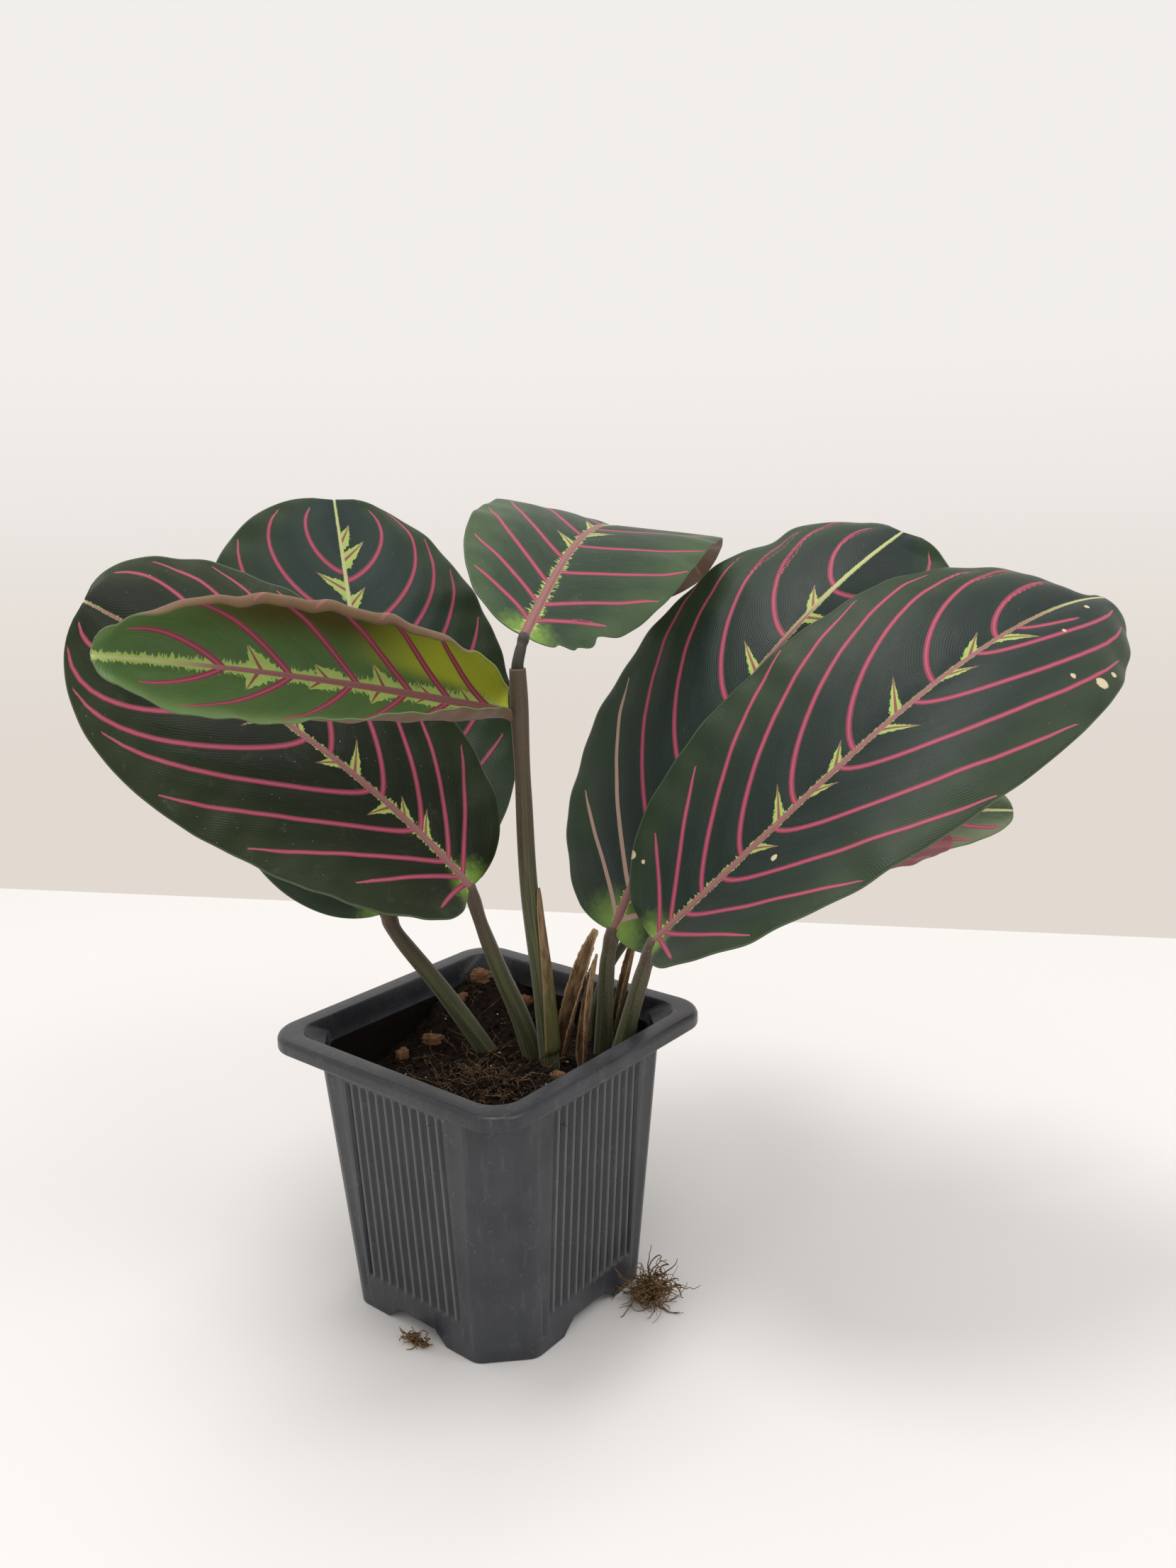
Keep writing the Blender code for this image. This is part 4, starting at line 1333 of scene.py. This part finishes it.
def floor_plate():
    """The raised floor with its drain holes, closed on its own."""
    bm = bmesh.new()
    bmesh.ops.create_cone(
        bm, cap_ends=True, segments=8, radius1=1, radius2=1, depth=FLOOR,
        matrix=Matrix.Rotation(EIGHTH / 2, 4, "Z"),
    )
    half = wall_half(FLOOR_HEIGHT) - 0.9 * MM
    middle = FLOOR_HEIGHT + FLOOR / 2
    pair = [(half, half - CHAMFER), (half - CHAMFER, half)]
    corners = []
    for _ in range(4):
        corners += pair
        pair = [(-y, x) for x, y in pair]
    for vert in bm.verts:
        turn = math.atan2(vert.co.y, vert.co.x) % (2 * math.pi)
        x, y = corners[int(turn // (math.pi / 4))]
        vert.co = (x + POT_CENTRE[0], y + POT_CENTRE[1], vert.co.z + middle)
    holder = in_scene("plate_work", mesh_from("plate", bm))
    cutters = []
    for x, y in ((0, 0), (1, 1), (1, -1), (-1, 1), (-1, -1)):
        spot = (x * DRAIN_OFFSET + POT_CENTRE[0], y * DRAIN_OFFSET + POT_CENTRE[1], middle)
        bm = bmesh.new()
        bmesh.ops.create_cone(
            bm, cap_ends=True, segments=40, radius1=DRAIN_RADIUS, radius2=DRAIN_RADIUS,
            depth=4 * FLOOR, matrix=Matrix.Translation(spot),
        )
        cutter = in_scene("drain_work", mesh_from("drain", bm))
        cut = holder.modifiers.new("Cut", "BOOLEAN")
        cut.operation, cut.solver, cut.object = "DIFFERENCE", "EXACT", cutter
        cutters.append(cutter)
    view = bpy.context.evaluated_depsgraph_get()
    result = bpy.data.meshes.new_from_object(holder.evaluated_get(view))
    for used in (holder, *cutters):
        bpy.data.objects.remove(used, do_unlink=True)
    return result


# Soil


def soil_height(x, y, rough=False):
    """The soil's height in the pot's frame, with its small lumps if rough."""
    across, along = x / SOIL_HALF, y / SOIL_HALF
    z = SOIL_LEVEL
    for centre_x, centre_y, rise, spread in SOIL_MOUNDS:
        away = (across - centre_x) ** 2 + (along - centre_y) ** 2
        z += rise * math.exp(-away / (2 * spread * spread))
    coarse = math.sin(9.1 * across + 2) * math.cos(8.3 * along)
    fine = math.sin(17 * across * along + 5 * along)
    z += 0.5 * MM * (coarse + fine)
    if rough:
        spot = Vector((x, y, 0)) / MM
        z += 1.3 * MM * noise.fractal(spot * 0.28, 0.8, 2.1, 5)
        z += 0.5 * MM * abs(noise.noise(spot * 1.1))
    return z


def make_soil(material):
    """The soil's block, from the floor up and in over its surface."""
    ring = full_ring(SOIL_HALF, CHAMFER - 0.9 * MM, WALL_ROUND - 1.6 * MM, 0)[::3, :2]
    if tuple(ring[0]) != tuple(ring[-1]):
        ring = np.vstack([ring, ring[:1]])
    floor = FLOOR_HEIGHT + FLOOR
    low = ring * ((wall_half(floor) - WALL - GAP) / SOIL_HALF)
    rows = [np.column_stack([low, np.full(len(low), floor + GAP)])]
    for share in [1.0, *np.linspace(0.98, 0.012, 64)]:
        spots = ring * share
        heights = [soil_height(x, y, True) for x, y in spots]
        heights[-1] = heights[0]
        rows.append(np.column_stack([spots, heights]))
    bm, _ = laid_grid(np.array(rows) + POT_CENTRE)
    closed_skin(bm)
    finish("soil_bed", bm, [material], ["soil"])


def scatter(rng, share=0.93):
    """A random spot on the soil, thicker over the front mound."""
    while True:
        if rng.random() < 0.45:
            x = rng.gauss(0.36, 0.3)
            y = rng.gauss(-0.34, 0.3)
        else:
            x, y = rng.uniform(-1, 1), rng.uniform(-1, 1)
        if abs(x) < share and abs(y) < share and abs(x) + abs(y) < 1.62:
            return x * SOIL_HALF, y * SOIL_HALF


def stepped(point, heading, pitch, length, parts):
    """A strand's next point, one of so many parts of its length on."""
    step = Vector((math.cos(heading), math.sin(heading), math.sin(pitch)))
    return point + step * length / parts


def add_strand(bm, path, sizes, sides):
    """A closed tube along a path."""
    part, _ = laid_grid(tube_points(np.array([tuple(point) for point in path]), sizes, sides))
    closed_skin(part)
    absorb(bm, mesh_from("strand", part))


def add_fibre(bm, rng, start, length, radius, climb):
    """One thin crooked strand."""
    heading = rng.uniform(0, 2 * math.pi)
    pitch = rng.uniform(-0.2, climb)
    path = [Vector(start)]
    for _ in range(6):
        heading += rng.gauss(0, 0.45)
        pitch = max(-0.5, pitch + rng.gauss(-0.08, 0.3))
        path.append(stepped(path[-1], heading, pitch, length, 6))
    add_strand(bm, path, radius * np.array([0.7, 1, 1, 0.95, 0.85, 0.6, 0.25]), 4)


def make_fibres(count, material, name, lengths, radii, seed, heap=False):
    """Strands over the soil, or heaped on its front mound; lengths and radii in mm."""
    rng = random.Random(seed)
    bm = bmesh.new()
    for _ in range(count):
        x, y = scatter(rng)
        if heap:
            x, y = rng.gauss(0.3, 0.17) * SOIL_HALF, rng.gauss(-0.46, 0.13) * SOIL_HALF
        start = (x + POT_CENTRE[0], y + POT_CENTRE[1], soil_height(x, y, True) + 0.2 * MM)
        length, radius = rng.uniform(*lengths) * MM, rng.uniform(*radii) * MM
        add_fibre(bm, rng, start, length, radius, 0.9 if heap else 0.7)
    finish(name, bm, [material])


def make_crumbs(count, material, name, sizes, seed):
    """Small angular lumps over the soil, with radii between sizes in mm."""
    rng = random.Random(seed)
    bm = bmesh.new()
    for _ in range(count):
        x, y = scatter(rng)
        size = rng.uniform(*sizes) * MM
        z = soil_height(x, y, True) + size * 0.3
        made = bmesh.ops.create_icosphere(bm, subdivisions=1, radius=size)
        stretch = Vector((rng.uniform(0.7, 1.4), rng.uniform(0.7, 1.2), rng.uniform(0.5, 0.9)))
        turn = Matrix.Rotation(rng.uniform(0, 6.3), 3, "Z")
        turn = turn @ Matrix.Rotation(rng.uniform(-0.6, 0.6), 3, "X")
        at = Vector((x + POT_CENTRE[0], y + POT_CENTRE[1], z))
        for vert in made["verts"]:
            jitter = rng.uniform(0.75, 1.2)
            vert.co = turn @ (vert.co * stretch * jitter) + at
    finish(name, bm, [material], smooth=False)


def make_chips(material):
    """The bark chips, blocky and layered."""
    bm = bmesh.new()
    for number, (across, along, halves, turn) in enumerate(CHIPS, 1):
        x, y = across * SOIL_HALF, along * SOIL_HALF
        at = Vector((x, y, soil_height(x, y) + halves[2] * MM * 0.5)) + Vector(POT_CENTRE)
        made = bmesh.ops.create_icosphere(bm, subdivisions=4, radius=1)
        spin = Matrix.Rotation(math.radians(turn), 3, "Z")
        for vert in made["verts"]:
            spot = vert.co.copy()
            rough = 1 + 0.28 * noise.fractal(spot * 1.6 + Vector((number * 9, 0, 0)), 0.8, 2, 4)
            layered = 1 + 0.07 * math.sin(spot.z * 16 + noise.noise(spot * 2) * 4)
            blocky = Vector([math.copysign(abs(c) ** 0.75, c) for c in spot])
            size = Vector(halves) * MM
            vert.co = spin @ (blocky * size * rough * layered) + at
    nodes = [f"bark_chip_{number}" for number in range(1, len(CHIPS) + 1)]
    finish("bark_chips", bm, [material], nodes)


def make_tuft(name, node, count, seed, length, material):
    """A tangle of dry roots that fills the space of its CAD lump."""
    low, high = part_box(node)
    centre = (low + high) / 2
    half = (high - low) / 2
    rng = random.Random(seed)
    bm = bmesh.new()
    for _ in range(count):
        spot = Vector((rng.gauss(0, 0.32), rng.gauss(0, 0.34), rng.gauss(-0.4, 0.32)))
        spot = Vector([max(-0.9, min(0.9, c)) for c in spot])
        start = centre + spot * half
        start.z = max(start.z, 0.45 * MM)
        add_root(bm, rng, start, rng.uniform(0.5, 1) * length, rng.uniform(0.12, 0.32) * MM)
    finish(name, bm, [material], [node])


def add_root(bm, rng, start, length, radius):
    """One curly root strand that stays above the floor."""
    heading = rng.uniform(0, 2 * math.pi)
    bend = rng.gauss(0, 0.5)
    pitch = rng.uniform(-0.4, 0.9)
    path = [Vector(start)]
    for _ in range(9):
        heading += bend + rng.gauss(0, 0.35)
        pitch = max(-0.9, min(1.1, pitch + rng.gauss(-0.05, 0.45)))
        point = stepped(path[-1], heading, pitch, length, 9)
        point.z = max(point.z, radius + 0.1 * MM)
        path.append(point)
    add_strand(bm, path, radius * np.linspace(1, 0.35, 10), 5)


# The add-on


def length(name, description, default):
    return FloatProperty(
        name=name, description=description, default=default, unit="LENGTH", precision=5
    )


def colour(name, description, default):
    return FloatVectorProperty(
        name=name, description=description, default=default, subtype="COLOR", min=0, max=1
    )


class PlantSizes(bpy.types.PropertyGroup):
    """Sizes that change the plant's finish."""

    blade_thickness: length("Blade", "Thickness of a leaf blade", 0.42 * MM)
    quilt: length("Quilting", "How far a blade swells between its veins", 0.3 * MM)
    ripple: length("Ripple", "How far a blade's margin waves", 0.75 * MM)
    flute_depth: length("Flutes", "Depth of the flutes down the pot's sides", 0.8 * MM)
    fibres: IntProperty(name="Fibres", description="Strands lying on the soil", default=420)
    crumbs: IntProperty(name="Crumbs", description="Crumbs lying on the soil", default=900)


class PlantColours(bpy.types.PropertyGroup):
    """Colours of the plant and its pot."""

    vein: colour("Vein", "Middle of a long vein", (0.44, 0.1, 0.155))
    vein_edge: colour("Vein edge", "Edge of a long vein", (0.27, 0.04, 0.075))
    pale_vein: colour("Pale vein", "The first veins at a leaf's base", (0.46, 0.36, 0.26))
    lime: colour("Lime", "Barbs along the midrib", (0.42, 0.55, 0.14))
    lime_green: colour("Lime green", "Blotch at the base of a leaf", (0.2, 0.34, 0.06))
    pale_lime: colour("Pale lime", "The midrib towards the tip", (0.5, 0.52, 0.24))
    flare: colour("Flare", "Yellow-green flush of the young leaf", (0.5, 0.53, 0.04))
    # Painted shade inside the young leaf's roll
    painted_roll_shade: colour("Dusk", "Brown shade inside the young leaf's roll", (0.075, 0.045, 0.01))
    rib: colour("Midrib", "Dark tone of the midrib", (0.22, 0.075, 0.085))
    rib_light: colour("Midrib light", "Light tone of the midrib", (0.4, 0.19, 0.18))
    margin: colour("Margin", "Thin edge of a blade", (0.12, 0.16, 0.08))
    dust: colour("Dust", "Dust and lime scale", (0.42, 0.43, 0.42))
    blemish: colour("Blemish", "Dry spots on a blade", (0.62, 0.54, 0.36))
    stem: colour("Stem", "Green of the stems", (0.085, 0.095, 0.03))
    stem_dark: colour("Stem dark", "Dark stripes of the stems", (0.028, 0.03, 0.01))
    stem_light: colour("Stem light", "Fine light lines of the stems", (0.15, 0.15, 0.06))
    stem_brown: colour("Stem brown", "Flush at the top of the stems", (0.085, 0.05, 0.032))
    hair: colour("Hair", "Fine hairs", (0.4, 0.37, 0.31))
    sheath: colour("Sheath", "Dry sheath", (0.2, 0.11, 0.055))
    sheath_dark: colour("Sheath dark", "Dark fibres of a sheath", (0.055, 0.026, 0.016))
    sheath_pale: colour("Sheath pale", "Bleached edges of a sheath", (0.45, 0.31, 0.17))
    plastic: colour("Plastic", "Pot plastic", (0.023, 0.0255, 0.031))
    plastic_light: colour("Plastic light", "Worn pot plastic", (0.038, 0.042, 0.05))
    # Dark peat, also used as the painted shade on the pot's inner wall and in its flutes' grooves
    soil_dark_and_painted_shade: colour("Soil dark", "Wet peat", (0.006, 0.0035, 0.0025))
    soil_light: colour("Soil light", "Dry peat", (0.034, 0.02, 0.012))
    fibre: colour("Fibre", "Strands in the soil", (0.3, 0.185, 0.1))
    bark: colour("Bark", "Bark chips", (0.42, 0.22, 0.11))
    root: colour("Root", "Dry roots", (0.34, 0.21, 0.1))


# A blade's upper side: its three greens, then how far its blotch, lime edge, barbs, flush and
# dust reach, and the shares of the length between which the midrib turns pale
TINTS = {
    "dark": (0.0125, 0.025, 0.0195),
    "deep": (0.0065, 0.013, 0.0145),
    "green": (0.024, 0.044, 0.018),
    "blotch": 11,
    "halo": 0.7,
    "fringe": 0.28,
    "solid": -0.35,
    "spike": 2.0,
    "flare": 0.0,
    "dust": 0.35,
    "pale_from": (0.78, 0.97),
}
LEAF_TINTS = {
    "leaf_right_front": {},
    "leaf_right_rear": {"blotch": 16, "green": (0.022, 0.048, 0.019), "pale_from": (0.6, 0.85)},
    "leaf_left": {
        "dark": (0.0085, 0.0145, 0.0055), "deep": (0.004, 0.0075, 0.0035),
        "green": (0.02, 0.033, 0.009), "dust": 1.0, "fringe": 0.5, "pale_from": (0.95, 1.05),
    },
    "leaf_rear_left": {"dark": (0.018, 0.038, 0.03), "spike": 2.8, "pale_from": (0.5, 0.75)},
    "leaf_top": {
        "dark": (0.02, 0.042, 0.022), "deep": (0.013, 0.03, 0.017),
        "green": (0.05, 0.09, 0.035), "dust": 1.0, "halo": 1.0, "fringe": 0.8,
    },
    "leaf_small_low": {"green": (0.1, 0.13, 0.06)},
    "leaf_small_high": {"green": (0.16, 0.2, 0.11), "dark": (0.07, 0.1, 0.05)},
    "leaf_young": {
        "dark": (0.08, 0.15, 0.045), "deep": (0.055, 0.115, 0.04),
        "green": (0.12, 0.2, 0.06), "blotch": 14, "halo": 0.6, "spike": 3.4, "fringe": 1.5,
        "solid": 0.4, "pale_from": (0.7, 0.9), "flare": 0.85, "dust": 0.5,
    },
}
# A blade's under side: base, second tone and veins
BACKS = {
    "leaf": ((0.1, 0.036, 0.04), (0.13, 0.085, 0.05), (0.3, 0.14, 0.13)),
    "leaf_young": ((0.17, 0.075, 0.06), (0.16, 0.095, 0.045), (0.3, 0.11, 0.11)),
    "leaf_small_low": ((0.2, 0.05, 0.07), (0.24, 0.09, 0.09), (0.34, 0.12, 0.13)),
    "leaf_small_high": ((0.16, 0.18, 0.12), (0.2, 0.24, 0.16), (0.3, 0.32, 0.2)),
}


class PlainColours:
    """The colours as tuples of three numbers."""

    def __init__(self, group):
        self.group = group

    def __getattr__(self, name):
        return tuple(getattr(self.group, name))


def scaled(colour, factor):
    return tuple(part * factor for part in colour)


class PlantOperator:
    """What the plant's operators share: each builds its pieces from the panel's values."""

    bl_options = {"REGISTER", "UNDO"}

    def execute(self, context):
        self.build(context.scene.plant_sizes, PlainColours(context.scene.plant_colours))
        return {"FINISHED"}


class PLANT_OT_pot(PlantOperator, bpy.types.Operator):
    """Adds the fluted square pot with its rolled rim"""

    bl_idname = "plant.pot"
    bl_label = "Pot"

    def build(self, sizes, colours):
        make_pot(sizes, plastic_look(colours))


class PLANT_OT_soil(PlantOperator, bpy.types.Operator):
    """Adds the soil with its fibres, crumbs, perlite and bark chips"""

    bl_idname = "plant.soil"
    bl_label = "Soil"

    def build(self, sizes, colours):
        peat = colours.soil_light
        dirt = earth_look("soil_peat", colours.soil_dark_and_painted_shade, peat, 0.7)
        make_soil(dirt)
        strands = earth_look("soil_fibre", peat, colours.fibre, 0.5)
        make_fibres(sizes.fibres, strands, "soil_fibres", (3, 10), (0.1, 0.24), 11)
        straw = earth_look("soil_straw", peat, scaled(colours.fibre, 1.3), 0.9)
        make_fibres(sizes.fibres // 3, straw, "soil_straws", (2, 6), (0.08, 0.2), 14, heap=True)
        make_crumbs(sizes.crumbs, dirt, "soil_crumbs", (0.25, 1.1), 12)
        grit = earth_look("soil_perlite", (0.4, 0.39, 0.36), (0.75, 0.74, 0.7), 1.5)
        make_crumbs(26, grit, "soil_perlite", (0.3, 0.75), 13)
        make_chips(earth_look("bark_wood", scaled(colours.bark, 0.35), colours.bark, 0.9))


class PLANT_OT_stems(PlantOperator, bpy.types.Operator):
    """Adds the stems and the dry sheaths round them"""

    bl_idname = "plant.stems"
    bl_label = "Stems"

    def build(self, sizes, colours):
        plain = stem_look("stem_plain", colours, 0.3)
        hairy = stem_look("stem_hairy", colours, 1.0)
        for name, stem in STEMS.items():
            look = hairy if stem.fuzz == 1 else plain
            extend = 0.6 * MM if name == "central_shoot" else 1.4 * MM
            make_stem(name, stem_route(stem, STEM_STEPS), stem.radii, look, extend)
        make_stem("petiole_top", top_route(8), TOP_STEM_RADII, plain, 1.2 * MM)
        dry = sheath_look(colours)
        fresh = sheath_look(colours, 0.8)
        for name, (foot, blade) in SHEATHS.items():
            make_sheath(name, foot, blade, dry if name != "brown_sheath_right" else fresh)
        make_shoot_sheath(fresh)


class PLANT_OT_leaves(PlantOperator, bpy.types.Operator):
    """Adds every leaf blade with its veins"""

    bl_idname = "plant.leaves"
    bl_label = "Leaves"

    def build(self, sizes, colours):
        for name, (_, _, veins) in LEAVES.items():
            tints = {**TINTS, **LEAF_TINTS[name]}
            upper = leaf_top_look(f"{name}_upper", tints, colours, veins)
            under = leaf_back_look(f"{name}_under", *BACKS.get(name, BACKS["leaf"]))
            make_leaf(name, sizes, upper, under)


class PLANT_OT_roots(PlantOperator, bpy.types.Operator):
    """Adds the dry roots that show under the pot"""

    bl_idname = "plant.roots"
    bl_label = "Roots"

    def build(self, sizes, colours):
        root = earth_look("root_dry", scaled(colours.root, 0.3), colours.root, 0.6)
        make_tuft("root_tangle_right", "root_tuft_right", 162, 21, 11 * MM, root)
        make_tuft("root_tangle_left", "root_tuft_left", 40, 22, 6 * MM, root)


class PLANT_OT_stage(PlantOperator, bpy.types.Operator):
    """Adds the pale floor, the soft light and the camera"""

    bl_idname = "plant.stage"
    bl_label = "Stage"

    def build(self, sizes, colours):
        make_floor()
        make_backdrop()
        make_lamps()
        make_camera()


class PLANT_PT_panel(bpy.types.Panel):
    """The plant's sizes, colours and pieces"""

    bl_label = "Prayer Plant"
    bl_idname = "PLANT_PT_panel"
    bl_space_type = "VIEW_3D"
    bl_region_type = "UI"
    bl_category = "Plant"

    def draw(self, context):
        for group in (context.scene.plant_sizes, context.scene.plant_colours):
            for name in group.__annotations__:
                self.layout.prop(group, name)
        for operator in OPERATORS:
            self.layout.operator(operator.bl_idname)


OPERATORS = (
    PLANT_OT_pot, PLANT_OT_soil, PLANT_OT_stems, PLANT_OT_leaves, PLANT_OT_roots, PLANT_OT_stage,
)

# Stage

# The camera: place from the pot's centre in mm, angles in degrees, lens and sensor in mm
CAMERA_SPOT = (233.184, -243.417, 226.698)
CAMERA_AROUND = math.radians(38.8826)
CAMERA_DOWN = math.radians(13.1261)
CAMERA_ROLL = math.radians(-1.1019)
CAMERA_LENS = 29.316
CAMERA_NEAR = 10 * MM
SENSOR = 36
# To the camera's right, and away from it, along the floor
RIGHT = Vector((math.cos(CAMERA_AROUND), math.sin(CAMERA_AROUND), 0))
BACK = Vector((-math.sin(CAMERA_AROUND), math.cos(CAMERA_AROUND), 0))
FLOOR_END = 331 * MM
FLOOR_END_SLOPE = -0.19
FLOOR_REACH = 3
FLOOR_COLOUR = (0.8, 0.785, 0.77, 1)
# The backdrop lightens between these heights of a unit sphere
BACKDROP_RISE = (-0.2, 0.12)
BACKDROP_LOW = (0.76, 0.7, 0.64)
BACKDROP_HIGH = (0.885, 0.86, 0.84)
# Lamps: place to the camera's right, toward it and up, disc size, power and colour
LAMPS = {
    "light_key": ((-0.25, 0.0, 1.2), 0.45, 4.9, (1, 0.98, 0.95)),
    "light_side": ((0.6, 0.45, 1.1), 0.5, 2.4, (0.96, 0.98, 1)),
}
LAMP_AIM = Vector((0, 0, 0.11))


def make_floor():
    """A pale floor that ends where the backdrop begins."""
    look = Look("stage_floor", Base_Color=FLOOR_COLOUR, Roughness=0.85, Specular_IOR_Level=0.15)
    bm = bmesh.new()
    bmesh.ops.create_grid(bm, x_segments=1, y_segments=1, size=1)
    for vert in bm.verts:
        across = vert.co.x * FLOOR_REACH
        depth = FLOOR_END + FLOOR_END_SLOPE * across if vert.co.y > 0 else -FLOOR_REACH
        vert.co = RIGHT * across + BACK * depth + Vector(POT_CENTRE)
    mesh = mesh_from("stage_floor", bm)
    mesh.materials.append(look.material)
    in_scene("stage_floor", mesh)


def make_backdrop():
    """A pale surround, a little darker low down."""
    world = bpy.data.worlds.new("studio")
    bpy.context.scene.world = world
    world.use_nodes = True
    sky = Wiring(world.node_tree, "Background")
    high = sky.axes(sky.node("ShaderNodeTexCoord", output="Generated"))[2]
    sky.feed("Color", sky.mix(high.rises(*BACKDROP_RISE), BACKDROP_LOW, BACKDROP_HIGH))


def make_lamps():
    for name, ((across, toward, high), size, power, tint) in LAMPS.items():
        lamp = bpy.data.lights.new(name, "AREA")
        lamp.shape = "DISK"
        lamp.size = size
        lamp.energy = power
        lamp.color = tint
        holder = in_scene(name, lamp)
        holder.location = RIGHT * across - BACK * toward + UP * high
        aim = LAMP_AIM - holder.location
        holder.rotation_euler = aim.to_track_quat("-Z", "Y").to_euler()


def make_camera():
    level = math.cos(CAMERA_DOWN)
    toward = Vector(
        (math.sin(CAMERA_AROUND) * level, -math.cos(CAMERA_AROUND) * level, math.sin(CAMERA_DOWN))
    )
    up = toward.cross(RIGHT)
    across = RIGHT * math.cos(CAMERA_ROLL) + up * math.sin(CAMERA_ROLL)
    upward = up * math.cos(CAMERA_ROLL) - RIGHT * math.sin(CAMERA_ROLL)
    camera = bpy.data.cameras.new("camera")
    camera.sensor_width = SENSOR
    camera.lens = CAMERA_LENS
    camera.clip_start = CAMERA_NEAR
    holder = in_scene("camera", camera)
    place = Matrix((across, upward, toward)).transposed().to_4x4()
    place.translation = Vector(CAMERA_SPOT) * MM + Vector(POT_CENTRE)
    holder.matrix_world = place
    scene = bpy.context.scene
    scene.camera = holder
    scene.view_settings.view_transform = "Standard"


CLASSES = (PlantSizes, PlantColours, *OPERATORS, PLANT_PT_panel)


def register():
    for each in CLASSES:
        bpy.utils.register_class(each)
    bpy.types.Scene.plant_sizes = PointerProperty(type=PlantSizes)
    bpy.types.Scene.plant_colours = PointerProperty(type=PlantColours)


def unregister():
    del bpy.types.Scene.plant_colours
    del bpy.types.Scene.plant_sizes
    for each in reversed(CLASSES):
        bpy.utils.unregister_class(each)


def main():
    register()
    bpy.ops.plant.pot()
    bpy.ops.plant.soil()
    bpy.ops.plant.stems()
    bpy.ops.plant.leaves()
    bpy.ops.plant.roots()
    bpy.ops.plant.stage()


if __name__ == "__main__":
    main()
